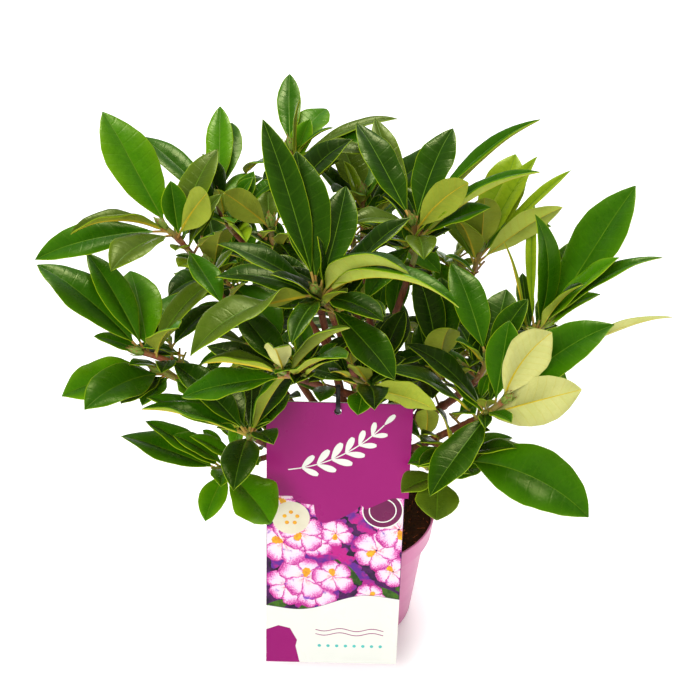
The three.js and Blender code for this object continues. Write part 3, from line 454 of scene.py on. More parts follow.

# leading: the large leaves that make the outline, each (heading, rise, reach, width, arch, roll, lower);
# heading, rise and reach lead from the bud to the leaf's tip, the heading turning from +X towards +Y;
# arch is the curve from root to tip, roll the turn about the midrib, lower sets the root further down.
# filling: how many more leaves the golden angle deals round the bud, the first at the heading `turn`.
# tones: the green of each leading leaf, by its letter in the table of tones below, partly painted light
# and shade; rest: those of all the others.
# curls: how the blades of some leading leaves are curled, by their numbers and a word in CURLS.
SHOOTS = [
    dict(
        name="left", springs_from="trunk", at=0.8, past=(-55, -30, 262), foot=(-140, -66, 342),
        head=(-177, -80, 370), radii=(5, 2.6), filling=4, turn=60, seed=11,
        leading=[
            (152, 31, 118, 50, 15), (128, 34, 102, 34, 10), (102, 28, 93, 42, 15),
            (177, 23, 42, 22, 10), (35, 32, 88, 30, 60), (323, 48, 65, 34, 40),
        ],
        tones="mmbmob", rest="md",
    ),
    dict(
        name="upper_left", springs_from="left", at=0.35, past=(-85, -25, 345), foot=(-131, -22, 424),
        head=(-157, -20, 457), radii=(3.6, 2.4), filling=3, turn=20, seed=12,
        leading=[
            (131, 45, 115, 50, 15, 0, 4), (198, -5, 112, 36, 25, -25), (208, 12, 84, 30, 60),
            (245, 2, 82, 40, 35), (59, 29, 90, 32, 20), (317, 42, 82, 34, 30), (73, 62, 40, 24, 10),
            (301, -58, 38, 24, 20, 0, 30),
        ],
        tones="bmoooomy", rest="mo",
        curls={2: "near", 5: "under"},
    ),
    dict(
        name="left_low", springs_from="left", at=0.62, past=(-110, -50, 300), foot=(-138, -56, 318),
        head=(-166, -60, 336), radii=(3.2, 2.3), filling=3, turn=80, seed=13,
        leading=[
            (203, 0, 88, 46, 30, -20), (234, 9, 91, 42, 40, -20), (227, 4, 46, 28, 30),
            (242, -27, 35, 28, 20), (343, -31, 41, 26, 20),
        ],
        tones="bmdmb", rest="m",
    ),
    dict(
        name="lower_left", springs_from="trunk", at=0.5, past=(-85, -10, 215), foot=(-86, -92, 290),
        head=(-84, -130, 318), radii=(4.4, 2.5), filling=3, turn=40, seed=14,
        leading=[
            (172, 14, 94, 40, 20), (141, 25, 95, 36, 20), (118, 17, 87, 34, 15), (92, 8, 81, 32, 10),
            (15, 44, 72, 40, 20), (264, 5, 76, 34, 40),
        ],
        tones="mddkmd", rest="md",
        curls={0: "near", 4: "near"},
    ),
    dict(
        name="lower_left_under", springs_from="lower_left", at=0.5, past=(-85, -50, 232),
        foot=(-98, -72, 240), head=(-114, -95, 254), radii=(3, 2.3), filling=3, turn=70, seed=15,
        leading=[
            (168, 16, 95, 42, 15), (326, -34, 65, 54, 30), (159, 27, 81, 30, 15),
            (254, -34, 48, 28, 30),
        ],
        tones="mbmb", rest="mb",
    ),
    dict(
        name="front", springs_from="trunk", at=0.97, past=(18, -48, 300), foot=(-14, -82, 404),
        head=(-27, -110, 449), radii=(4.6, 2.6), filling=3, turn=30, seed=16,
        leading=[
            (119, 53, 144, 30, 20), (102, 53, 116, 42, 20), (73, 34, 98, 36, 15),
            (156, 16, 91, 30, 25), (213, -9, 117, 48, 55), (332, 26, 92, 50, 70),
            (335, 9, 124, 40, 75), (330, -7, 62, 32, 40), (255, -5, 68, 22, 40), (92, 67, 43, 16, 10),
        ],
        tones="ddddodmddd", rest="dk",
        curls={4: "foot", 5: "lip", 6: "lip"},
    ),
    dict(
        name="front_low", springs_from="front", at=0.47, past=(-45, -45, 318), foot=(-42, -118, 368),
        head=(-53, -150, 398), radii=(3.5, 2.4), filling=2, turn=60, seed=17,
        leading=[
            (267, 64, 74, 28, 20), (188, 15, 64, 32, 25), (355, 42, 70, 38, 30), (121, 13, 76, 34, 15),
            (148, 0, 76, 30, 15), (321, 34, 78, 42, 25),
        ],
        tones="ooodkm", rest="mk",
        curls={0: "book", 1: "near", 2: "lip"},
    ),
    dict(
        name="front_centre", springs_from="front", at=0.34, past=(20, -30, 322), foot=(16, -74, 334),
        head=(10, -100, 347), radii=(3, 2.3), filling=3, turn=140, seed=36,
        leading=[
            (263, -12, 30, 24, 30), (345, -8, 66, 32, 30, -80), (64, 17, 93, 36, 20),
            (165, 12, 66, 32, 25), (20, 22, 46, 28, 25),
        ],
        tones="mmkdk", rest="kd",
    ),
    dict(
        name="top", springs_from="trunk", at=0.9, past=(-30, 40, 330), foot=(-46, 52, 450),
        head=(-53, 60, 492), radii=(4.4, 2.5), filling=5, turn=100, seed=18,
        leading=[
            (92, 26, 92, 23, 10), (63, 12, 71, 34, 20), (341, 36, 49, 14, 30), (344, 6, 70, 30, 50),
            (18, 9, 105, 18, 32), (136, -34, 76, 28, 50), (313, 78, 52, 14, 10, 40),
            (47, 45, 33, 24, 15), (213, -35, 36, 20, 50),
        ],
        tones="mbmoomobk", rest="mb",
    ),
    dict(
        name="back_upper_left", springs_from="top", at=0.4, past=(-70, 35, 380), foot=(-104, 38, 420),
        head=(-119, 40, 453), radii=(3.4, 2.4), filling=4, turn=110, seed=19,
        leading=[
            (91, 30, 105, 27, 10), (76, 15, 100, 34, 15), (138, 18, 108, 33, 20), (54, 5, 66, 26, 60),
            (292, 3, 88, 28, 25, 0, 14), (124, 84, 43, 34, 15),
        ],
        tones="bmmbyd", rest="bm",
        curls={4: "near"},
    ),
    dict(
        name="inner_left", springs_from="top", at=0.55, past=(-50, 20, 380), foot=(-62, 6, 412),
        head=(-69, 0, 449), radii=(3, 2.3), filling=3, turn=20, seed=20,
        leading=[(215, 45, 64, 28, 20), (95, 22, 40, 22, 15)],
        tones="bo", rest="mk",
        curls={0: "under"},
    ),
    dict(
        name="centre_right", springs_from="trunk", at=1, past=(22, 0, 290), foot=(55, -8, 415),
        head=(53, -20, 462), radii=(5.6, 2.6), filling=2, turn=100, seed=21,
        leading=[
            (121, 33, 108, 34, 20), (108, 30, 113, 26, 15), (67, 33, 100, 36, 10),
            (18, 37, 137, 34, 18), (329, 45, 73, 32, 30), (351, 30, 117, 36, 30, -20, 8),
            (200, 10, 60, 30, 70), (277, -1, 58, 28, 45), (1, 22, 64, 30, 25),
        ],
        tones="dodmbmoom", rest="dm",
        curls={3: "near", 4: "under", 5: "crease"},
    ),
    dict(
        name="top_right_back", springs_from="centre_right", at=0.45, past=(15, 40, 350), foot=(12, 60, 405),
        head=(11, 70, 441), radii=(3.4, 2.4), filling=6, turn=10, seed=22,
        leading=[
            (117, 41, 60, 34, 20), (82, 10, 72, 34, 25), (346, 45, 44, 30, 40), (234, 29, 50, 34, 40),
            (155, 57, 37, 18, 15),
        ],
        tones="ombmy", rest="md",
    ),
    dict(
        name="right", springs_from="trunk", at=0.84, past=(75, -18, 250), foot=(146, -10, 322),
        head=(176, -10, 353), radii=(5, 2.6), filling=2, turn=150, seed=23,
        leading=[
            (35, 51, 147, 56, 15), (57, 40, 91, 44, 15), (355, 54, 94, 36, 20), (4, 31, 120, 26, 50),
            (311, 60, 69, 30, 25), (93, 37, 124, 12, 15, -60), (107, 26, 61, 18, 15),
            (128, 48, 84, 10, 15, 70), (9, 32, 56, 30, 30), (178, 82, 112, 26, 50, -60, -12),
        ],
        tones="mdbmdydmbm", rest="dm",
        curls={3: "cupped", 5: "over"},
    ),
    dict(
        name="back_upper_right", springs_from="right", at=0.4, past=(92, 30, 300), foot=(110, 50, 352),
        head=(121, 60, 391), radii=(3.4, 2.4), filling=2, turn=130, seed=24,
        leading=[
            (266, 80, 62, 38, 25), (62, 42, 101, 44, 20), (39, 46, 101, 28, 20), (23, 41, 111, 16, 20),
            (221, 59, 55, 36, 25), (344, 34, 92, 28, 20, -85),
        ],
        tones="byyyby", rest="bo",
    ),
    dict(
        name="centre_right_low", springs_from="right", at=0.58, past=(100, -35, 290), foot=(112, -48, 318),
        head=(119, -60, 351), radii=(3.2, 2.3), filling=3, turn=150, seed=25,
        leading=[
            (109, 32, 98, 36, 25), (71, 29, 72, 36, 15), (42, 32, 64, 28, 15), (201, 41, 40, 24, 30),
        ],
        tones="mddm", rest="dk",
    ),
    dict(
        name="centre_low", springs_from="right", at=0.3, past=(66, -25, 265), foot=(74, -34, 298),
        head=(80, -40, 333), radii=(3.2, 2.3), filling=3, turn=120, seed=26,
        leading=[(88, 35, 84, 38, 20), (284, 69, 53, 34, 25), (206, -2, 50, 34, 30)],
        tones="dok", rest="dk",
    ),
    dict(
        name="right_front", springs_from="trunk", at=0.62, past=(70, -20, 225), foot=(110, -88, 306),
        head=(130, -110, 341), radii=(4.8, 2.6), filling=2, turn=80, seed=27,
        leading=[
            (13, 36, 111, 48, 20, 20, 12), (349, 65, 81, 56, 30, -110),
            (329, 31, 85, 46, 15, -112, 34), (21, 19, 163, 18, 40, -70), (153, 19, 97, 30, 35, 0, 18),
            (178, 28, 105, 36, 30, 0, 32),
        ],
        tones="myyykd", rest="dm",
        curls={1: "book", 2: "pale", 3: "pale"},
    ),
    dict(
        name="right_low", springs_from="right_front", at=0.6, past=(82, -60, 255), foot=(86, -80, 262),
        head=(96, -110, 275), radii=(3, 2.3), filling=2, turn=40, seed=28,
        leading=[(328, -3, 122, 58, 60, 35), (354, 17, 62, 34, 25), (178, -2, 46, 34, 30)],
        tones="mom", rest="dk",
    ),
    dict(
        name="pot_side", springs_from="right_front", at=0.4, past=(66, -40, 222), foot=(74, -58, 226),
        head=(82, -80, 233), radii=(2.8, 2.2), filling=1, turn=20, seed=29,
        leading=[(263, -25, 42, 42, 30), (205, -3, 40, 34, 30), (18, 4, 42, 30, 20)],
        tones="oom", rest="mb",
    ),
    dict(
        name="back", springs_from="trunk", at=0.72, past=(10, 55, 260), foot=(5, 115, 340),
        head=(3, 144, 372), radii=(4.4, 2.5), filling=13, turn=90, seed=30,
        leading=[], tones="", rest="md",
    ),
    dict(
        name="back_left", springs_from="trunk", at=0.66, past=(-40, 45, 240), foot=(-110, 90, 322),
        head=(-136, 108, 350), radii=(4.2, 2.5), filling=13, turn=140, seed=31,
        leading=[], tones="", rest="md",
    ),
    dict(
        name="back_right", springs_from="trunk", at=0.58, past=(50, 50, 245), foot=(92, 118, 312),
        head=(109, 142, 342), radii=(4.2, 2.5), filling=13, turn=60, seed=32,
        leading=[], tones="", rest="om",
    ),
    dict(
        name="back_low_left", springs_from="back_left", at=0.4, past=(-55, 70, 245), foot=(-74, 104, 258),
        head=(-92, 130, 280), radii=(3, 2.3), filling=11, turn=120, seed=33,
        leading=[], tones="", rest="dm",
    ),
    dict(
        name="back_low", springs_from="back", at=0.35, past=(14, 80, 240), foot=(15, 112, 250),
        head=(20, 144, 268), radii=(3, 2.3), filling=11, turn=100, seed=34,
        leading=[], tones="", rest="dk",
    ),
    dict(
        name="back_low_right", springs_from="back_right", at=0.4, past=(75, 64, 245), foot=(102, 72, 256),
        head=(128, 86, 276), radii=(3, 2.3), filling=11, turn=20, seed=35,
        leading=[], tones="", rest="dm",
    ),
]

BARK_BROWN = rgb(134, 74, 48)
BARK_DARK = rgb(84, 44, 28)
BARK_GREY = rgb(128, 96, 72)


def quadratic(start, past, end, steps):
    """Points of a quadratic curve that leaves for `past` and arrives from it."""
    t = np.linspace(0, 1, steps + 1)[:, None]
    start, past, end = (np.array(p, float) for p in (start, past, end))
    return (1 - t) ** 2 * start + 2 * t * (1 - t) * past + t**2 * end


def unit(vector):
    return vector / np.linalg.norm(vector)


class Limb:
    """A row of points with a radius at each, and the curve it follows."""

    def __init__(self, start, past, end, radii, steps=LIMB_STEPS):
        self.curve = tuple(np.array(p, float) for p in (start, past, end))
        self.points = quadratic(*self.curve, steps)
        self.radii = np.linspace(*radii, steps + 1)

    def at(self, share):
        place = share * (len(self.points) - 1)
        i = min(int(place), len(self.points) - 2)
        return self.points[i] + (self.points[i + 1] - self.points[i]) * (place - i)

    def end_way(self):
        return unit(self.points[-1] - self.points[-2])


def frames_along(points):
    """Two directions across the way at each point of a line, turning as little as they can."""
    ways = np.gradient(points, axis=0)
    ways /= np.linalg.norm(ways, axis=1)[:, None]
    chord = unit(points[-1] - points[0])
    reference = (1, 0, 0) if abs(chord[2]) > 0.9 else (0, 0, 1)
    across = unit(np.cross(chord, reference))
    sideways = np.array([unit(across - way * across.dot(way)) for way in ways])
    return sideways, np.cross(ways, sideways), ways


def round_limb(points, radii, sides, relief=None):
    """Rings of a tapering limb; relief(angle, length along) adds to the radius there."""
    across, up, _ = frames_along(points)
    lengths = np.concatenate([[0], np.cumsum(np.linalg.norm(np.diff(points, axis=0), axis=1))])
    rings = []
    for i, centre in enumerate(points):
        ring = []
        for k in range(sides):
            angle = 2 * math.pi * k / sides
            radius = radii[i] + (relief(angle, lengths[i]) if relief else 0)
            ring.append(centre + (across[i] * math.cos(angle) + up[i] * math.sin(angle)) * radius)
        rings.append(ring)
    return np.array(rings)


def bark_relief(seed, collar_radius=0.0):
    """Ridges, leaf scars and, at its start, the collar of one limb."""
    def relief(angle, along):
        ridge_spot = Vector((1.3 * math.cos(angle), 1.3 * math.sin(angle), along * 0.045 + 7 * seed))
        knot_spot = Vector((0.9 * math.cos(angle), 0.9 * math.sin(angle), along * 0.16 + 3 * seed))
        ridge = RIDGE * (noise.noise(ridge_spot * 2) + 0.7 * noise.noise(knot_spot * 2))
        node = along / SCAR_SPACING + 0.37 * seed
        scar_angle = math.radians(GOLDEN_ANGLE) * math.floor(node)
        off_node = abs(node - math.floor(node) - 0.5) * SCAR_SPACING
        facing = 0.35 + 0.65 * max(math.cos(angle - scar_angle), 0)
        scar = SCAR_HEIGHT * facing * math.exp(-((off_node / SCAR_HALF_LENGTH) ** 2))
        return ridge + scar + collar_radius * math.exp(-along / COLLAR["length"])
    return relief


def relief_line(limb, start_radius, end_radius):
    """The limb's own curve in fine steps, with its radii."""
    length = np.linalg.norm(np.diff(limb.points, axis=0), axis=1).sum()
    steps = max(int(length / RELIEF_STEP), 6)
    return quadratic(*limb.curve, steps), np.linspace(start_radius, end_radius, steps + 1)


limbs = {"trunk": Limb(TRUNK["foot"], TRUNK["past"], TRUNK["tip"], TRUNK["radii"], TRUNK["steps"])}
for shoot in SHOOTS:
    start = limbs[shoot["springs_from"]].at(shoot["at"])
    limbs[shoot["name"]] = Limb(start, shoot["past"], shoot["foot"], shoot["radii"])

bark_heap = Heap()
trunk_points, trunk_radii = relief_line(limbs["trunk"], *TRUNK["radii"])
trunk_points[0, 2] -= TRUNK["sunk"]
trunk_bark = bark_relief(1)
trunk_rings = []
for centre, radius in zip(trunk_points, trunk_radii):
    risen = max(centre[2] - TRUNK["foot"][2], 0)
    flare = TRUNK["flare"] * math.exp(-risen / TRUNK["flare_height"])
    ring = []
    for k in range(2 * RELIEF_SIDES):
        angle = math.pi * k / RELIEF_SIDES
        lobes = 1 + TRUNK["lobe_depth"] * math.cos(TRUNK["flare_lobes"] * angle)
        reach = radius + flare * lobes + trunk_bark(angle, risen)
        ring.append(centre + np.array((math.cos(angle), math.sin(angle), 0)) * reach)
    trunk_rings.append(ring)
bark_heap.add(trunk_rings, loft(trunk_rings))

# Above its tip the trunk closes in a low knuckle from which the last boughs leave; each of its rings
# has a radius and a height above the tip.
KNUCKLE = ((6.3, -3), (6.6, 0), (5.6, 2.2), (3.4, 3.6), (0.2, 4.1))
knuckle = [
    [trunk_points[-1] + np.array((math.cos(a) * r, math.sin(a) * r, h)) for a in
     np.linspace(0, 2 * math.pi, 2 * RELIEF_SIDES, endpoint=False)]
    for r, h in KNUCKLE
]
bark_heap.add(knuckle, loft(knuckle))

for number, shoot in enumerate(SHOOTS):
    limb = limbs[shoot["name"]]
    points, radii = relief_line(limb, *shoot["radii"])
    relief = bark_relief(number + 2, COLLAR["swell"] * shoot["radii"][0])
    rings = round_limb(points, radii, RELIEF_SIDES, relief)
    bark_heap.add(rings, loft(rings))

bark_finish, bark_nodes, bark_shader = new_finish("rhododendron_bark", 0.75, 0.35)
fresh = add_patches(bark_nodes, BARK_BROWN, BARK_DARK, 130.0, 0.5, 0.18, (1, 1, 0.35))
weathered = add_patches(bark_nodes, fresh["Colour"], BARK_GREY, 60.0, 0.35, 0.12)
flakes = add_patches(bark_nodes, weathered["Colour"], BARK_DARK, 420.0, 0.4, 0.1, (1, 1, 0.3))
bark_nodes.tree.links.new(flakes["Colour"], bark_shader.inputs["Base Color"])
add_bump(bark_nodes, bark_shader, flakes["Height"], 0.0009)
bark_piece = bark_heap.make("bark", [bark_finish])
finish_piece(bark_piece, "bark", "trunk", *(f"bough_{shoot['name']}" for shoot in SHOOTS))


# ---------------------------------------------------------------- the hanging label
# A printed card with a shorter purple flap over its upper half, both of thin coated board with one
# punched hole. It leans on the pot's rim. Its band of blossoms is a stock pattern; nothing is lettered.
LABEL = dict(
    width=127.5, top=173, bottom=-113.5, thickness=0.8, lean=9, roll=-1.6, centre_x=-15.4,
)
GAP = 0.3
PRINT_LIFT = 0.03
PRINT_SUNK = 0.2  # of each printed shape below the face
BAND = dict(top=82, foot=-42)  # heights of the printed band on the card
CORNER = dict(right=-31, top=-70, slant=7)
# layer is how much higher each printed shape lies than the one before.
BLOSSOM = dict(petals=5, radius=28, petal_width=23, columns=3, rows=5, layer=0.0016, ruffle=0.07)
BACK_PETALS = dict(count=70, length=17, width=12, layer=0.0009, ruffle=0.1)
PRINTED_LEAVES = dict(count=7, length=34, width=13, layer=0.001)
GOLDEN_RATIO = 0.618034
SEAL = dict(centre=(-41, 52), radius=17.5, dots_out=6.2, dot_radius=2.0)
TAB = dict(centre=(44, 62), radius=18, edge=1.2)

label_matrix = (
    Matrix.Translation((LABEL["centre_x"], -POT["rim_radius"] - GAP - 0.1, POT["height"]))
    @ Matrix.Rotation(math.radians(90 - LABEL["lean"]), 4, "X")
    @ Matrix.Rotation(math.radians(LABEL["roll"]), 4, "Z")
)
label_turn = np.array(label_matrix)[:3, :3]
label_place = np.array(label_matrix)[:3, 3]
label_front = 2 * LABEL["thickness"] + GAP


def on_label(points):
    """Points of the label's own flat frame, x across, y up and z out of its face, set in place."""
    return np.asarray(points, float).reshape(-1, 3) @ label_turn.T + label_place


def into_label(points):
    return (np.asarray(points, float) - label_place) @ label_turn


def slab(outline, low, high):
    """A flat printed shape as a closed body, its outline anticlockwise seen from the front."""
    rings = [[(x, y, z) for x, y in outline] for z in (low, high)]
    return on_label(rings), loft(rings)


def disc(centre, radius, steps=48):
    return [(centre[0] + radius * math.cos(a), centre[1] + radius * math.sin(a))
            for a in np.linspace(0, 2 * math.pi, steps, endpoint=False)]


card_white = patched_finish(
    "coated_card", rgb(218, 219, 211), rgb(212, 213, 205), 30.0, 0.3,
    relief=0.00001, specular=0.2, softness=0.3,
)
flap_purple = patched_finish(
    "purple_coated_card", rgb(144, 19, 104), rgb(136, 15, 98), 16.0, 0.3,
    relief=0.00001, specular=0.16, softness=0.3,
)
for node, finish in (("label_card", card_white), ("label_flap", flap_purple)):
    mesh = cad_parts[node].data
    mesh.materials.clear()
    mesh.materials.append(finish)

petal_finish, petal_nodes, petal_shader = new_finish("printed_petals", 0.3, 0.2)
print_uv = petal_nodes.add("ShaderNodeSeparateXYZ", {0: petal_nodes.add("ShaderNodeTexCoord").outputs["UV"]})
from_middle = petal_nodes.math("ABSOLUTE", petal_nodes.math("SUBTRACT", print_uv.outputs[0], 0.5))
ruffle = petal_nodes.add("ShaderNodeTexNoise", {"Scale": 160.0, "Detail": 3.0}).outputs[0]
rim_share = petal_nodes.math("MAXIMUM", petal_nodes.math("MULTIPLY", from_middle, 2.0), print_uv.outputs[1])
rim_share = petal_nodes.math("ADD", rim_share, petal_nodes.spread(ruffle, 0.3, 0.7, -0.16, 0.16))
ramp = petal_nodes.add("ShaderNodeValToRGB", {0: rim_share})
ramp_colours = (
    (0.0, rgb(206, 60, 110)), (0.14, rgb(226, 140, 160)), (0.3, rgb(226, 206, 206)),
    (0.66, rgb(228, 200, 220)), (0.84, rgb(206, 92, 168)), (1.0, rgb(158, 24, 116)),
)
while len(ramp.color_ramp.elements) < len(ramp_colours):
    ramp.color_ramp.elements.new(0.5)
for element, (position, colour) in zip(ramp.color_ramp.elements, ramp_colours):
    element.position = position
    element.color = colour
violet = add_patches(petal_nodes, ramp.outputs[0], rgb(112, 62, 168), 110.0, 0.34, 0.06)
petal_nodes.tree.links.new(violet["Colour"], petal_shader.inputs["Base Color"])
back_petal_finish = patched_finish(
    "printed_back_petals", rgb(172, 26, 120), rgb(88, 34, 128), 90.0, 0.3, softness=0.08, specular=0.2)
print_green = patched_finish(
    "printed_leaves", rgb(64, 104, 24), rgb(34, 62, 18), 120.0, 0.3, softness=0.1, specular=0.2)

ground_finish = patched_finish(
    "printed_ground", rgb(70, 22, 78), rgb(28, 18, 40), 60.0, 0.3, softness=0.08, specular=0.2)
seal_finish = patched_finish("printed_cream", rgb(214, 208, 186), rgb(204, 196, 172), 60.0, 0.3, specular=0.2)
eye_finish = patched_finish(
    "printed_blossom_eye", rgb(224, 176, 30), rgb(196, 110, 40), 300.0, 0.3, specular=0.2)
teal_finish = patched_finish("printed_teal", rgb(84, 186, 178), rgb(70, 168, 164), 40.0, 0.3, specular=0.2)
plum_finish = patched_finish("printed_plum", rgb(104, 22, 72), rgb(92, 18, 66), 40.0, 0.3, specular=0.2)

card_face = LABEL["thickness"]
card_half = LABEL["width"] / 2
print_heap = Heap()


def print_shape(outline, layer, finish):
    points, faces = slab(outline, card_face - PRINT_SUNK, card_face + layer)
    print_heap.add(points, faces, finish)


GROUND, PETAL, EYE, CREAM, PURPLE, WHITE, BACK_PETAL, GREEN, PLUM, TEAL = range(10)
corner_right, corner_top, slant = CORNER["right"], CORNER["top"], CORNER["slant"]
print_shape([
    (-card_half, LABEL["bottom"]), (corner_right, LABEL["bottom"]),
    (corner_right - 0.6 * slant, corner_top - 24), (corner_right - 0.4 * slant, corner_top - 17),
    (corner_right - 1.4 * slant, corner_top - 3),
    (corner_right - 3 * slant, corner_top), (-card_half, corner_top - 5),
], PRINT_LIFT, PURPLE)


def print_foot(x):
    """Where the printed band ends above the plain foot of the card."""
    return BAND["foot"] + 5 * math.sin(x / 17) + 0.12 * x


def petal(centre, heading, length, width, lift, ruffle=0.0, face=LABEL["thickness"]):
    """One petal that starts at the blossom's centre, cropped at the edge of the print."""
    way = np.array((math.cos(heading), math.sin(heading)))
    side = np.array((-way[1], way[0]))
    rings, uvs = [], []
    for share in np.linspace(0.05, 1, 12):
        half = 0.5 * width * math.sin(math.pi * min(share**1.45 * 0.9 + 0.02, 1)) ** 0.62
        half *= 1 + ruffle * math.sin(23 * share + 3 * heading)
        middle = np.array(centre) + way * length * share
        ring = []
        for out, height in ((-1, 0), (1, 0), (1, lift), (0.5, lift), (0, lift), (-0.5, lift), (-1, lift)):
            x, y = middle + side * half * out
            x = min(max(x, 0.5 - card_half), card_half - 0.5)
            y = max(y, print_foot(x) + 0.5)
            ring.append((x, y, face + height))
            uvs.append((0.5 + out / 2, share))
        rings.append(ring)
    return rings, uvs


def print_petal(finish, *shape):
    rings, uvs = petal(*shape)
    print_heap.add(on_label(rings), loft(rings), finish, uvs)


wavy_foot = [(x, print_foot(x)) for x in np.linspace(-card_half, card_half, 40)]
print_shape(wavy_foot + [(card_half, BAND["top"]), (-card_half, BAND["top"])], PRINT_LIFT, GROUND)

def strewn_x(number, start):
    """Places across the card, dealt out evenly by the golden ratio."""
    return LABEL["width"] * ((GOLDEN_RATIO * number + start) % 1 - 0.5)


# Leaves and loose back petals lie behind the blossoms.
layer = PRINT_LIFT
for number in range(BACK_PETALS["count"]):
    x = strewn_x(number, 0.21)
    y = print_foot(x) + 4 + (BAND["top"] - BAND["foot"] - 14) * (number + 0.5) / BACK_PETALS["count"]
    layer += BACK_PETALS["layer"]
    print_petal(BACK_PETAL, (x, y), 2.4 * number, BACK_PETALS["length"], BACK_PETALS["width"], layer,
                BACK_PETALS["ruffle"])
for number in range(PRINTED_LEAVES["count"]):
    x = strewn_x(number, 0.1)
    layer += PRINTED_LEAVES["layer"]
    print_petal(GREEN, (x, print_foot(x) + 12), 0.5 + 1.9 * number, PRINTED_LEAVES["length"],
                PRINTED_LEAVES["width"], layer)
step_x = LABEL["width"] / BLOSSOM["columns"]
step_y = (BAND["top"] - BAND["foot"]) / BLOSSOM["rows"]
for number in range(BLOSSOM["columns"] * BLOSSOM["rows"]):
    row, column = divmod(number, BLOSSOM["columns"])
    wander = 0.22 * math.sin(4.1 * number + 1)
    centre = (step_x * (column + 0.5 + (0.22 if row % 2 else -0.22) + wander) - card_half,
              BAND["foot"] + step_y * (row + 0.42 + 0.3 * math.cos(5.3 * number)))
    radius = BLOSSOM["radius"] * (0.8 + 0.2 * math.sin(2.4 * number))
    width = BLOSSOM["petal_width"] * radius / BLOSSOM["radius"]
    for k in range(BLOSSOM["petals"]):
        layer += BLOSSOM["layer"]
        heading = 2 * math.pi * (k + 0.37 * number) / BLOSSOM["petals"]
        length = radius * (0.9 + 0.1 * math.cos(3 * k + number))
        print_petal(PETAL, centre, heading, length, width, layer, BLOSSOM["ruffle"])
    layer += BLOSSOM["layer"]
    print_petal(EYE, centre, 2 * math.pi * 0.074 * number, 0.42 * radius, 0.3 * radius, layer, 0.2)
layer += 0.02
print_shape(disc(SEAL["centre"], SEAL["radius"]), layer, CREAM)
for degrees in range(18, 360, 72):
    dot_way = np.array((math.cos(math.radians(degrees)), math.sin(math.radians(degrees))))
    dot_centre = np.array(SEAL["centre"]) + SEAL["dots_out"] * dot_way
    print_shape(disc(dot_centre, SEAL["dot_radius"], 16), layer + 0.02, EYE)
print_shape(disc(TAB["centre"], TAB["radius"] + TAB["edge"]), layer, WHITE)
TAB_RINGS = ((1, 0.01, PLUM), (0.72, 0.015, WHITE), (0.66, 0.02, PLUM))  # share of the radius, lift, finish
for share, raised, finish in TAB_RINGS:
    print_shape(disc(TAB["centre"], share * TAB["radius"]), layer + raised, finish)

# The foot of the card has two wavy lines and a row of dots.
FOOT_LINES = dict(left=-16, right=50, heights=(-74, -79), wave=1.6, thickness=0.9)
FOOT_DOTS = dict(left=-12, spacing=8.5, count=8, height=-93, radius=1.7)
for height in FOOT_LINES["heights"]:
    line = np.array([(x, height + FOOT_LINES["wave"] * math.sin(x / 5))
                     for x in np.linspace(FOOT_LINES["left"], FOOT_LINES["right"], 60)])
    rise = (0, FOOT_LINES["thickness"] / 2)
    print_shape(np.concatenate([line - rise, (line + rise)[::-1]]), PRINT_LIFT, PURPLE)
for number in range(FOOT_DOTS["count"]):
    spot = (FOOT_DOTS["left"] + FOOT_DOTS["spacing"] * number, FOOT_DOTS["height"])
    print_shape(disc(spot, FOOT_DOTS["radius"], 20), PRINT_LIFT, TEAL)

# On the flap a white sprig bends across the purple, with leaves in pairs along its stem.
SPRIG = dict(
    start=(-44, 104), past=(6, 110), end=(42, 152), pairs=6, leaf_length=20, leaf_width=7, stem=1.1,
    spread=0.65,
)
sprig = quadratic(SPRIG["start"], SPRIG["past"], SPRIG["end"], 24)
sprig_ways = np.gradient(sprig, axis=0)
sprig_ways /= np.linalg.norm(sprig_ways, axis=1)[:, None]
sprig_sides = np.stack([-sprig_ways[:, 1], sprig_ways[:, 0]], axis=1) * SPRIG["stem"] / 2
stem_outline = np.concatenate([sprig - sprig_sides, (sprig + sprig_sides)[::-1]])
print_heap.add(*slab(stem_outline, label_front - PRINT_SUNK, label_front + PRINT_LIFT), WHITE)


def print_sprig_leaf(root, heading, size):
    rings, uvs = petal(root, heading, SPRIG["leaf_length"] * size, SPRIG["leaf_width"] * size,
                       PRINT_LIFT + 0.004, face=label_front)
    print_heap.add(on_label(rings), loft(rings), WHITE, uvs)


for pair in range(SPRIG["pairs"]):
    place = 3 + 3.5 * pair
    i = int(place)
    along = math.atan2(sprig_ways[i, 1], sprig_ways[i, 0])
    size = 1 - 0.45 * abs(pair / (SPRIG["pairs"] - 1) - 0.35)
    for turn in (-SPRIG["spread"], SPRIG["spread"]):
        print_sprig_leaf(sprig[i] + (sprig[i + 1] - sprig[i]) * (place - i), along + turn, size)
print_sprig_leaf(sprig[-1], math.atan2(*sprig_ways[-1][::-1]), 0.7)

print_piece = print_heap.make(
    "label_pattern",
    [ground_finish, petal_finish, eye_finish, seal_finish, flap_purple, card_white, back_petal_finish,
     print_green, plum_finish, teal_finish],
    smooth=False)
finish_piece(print_piece, "label_print")

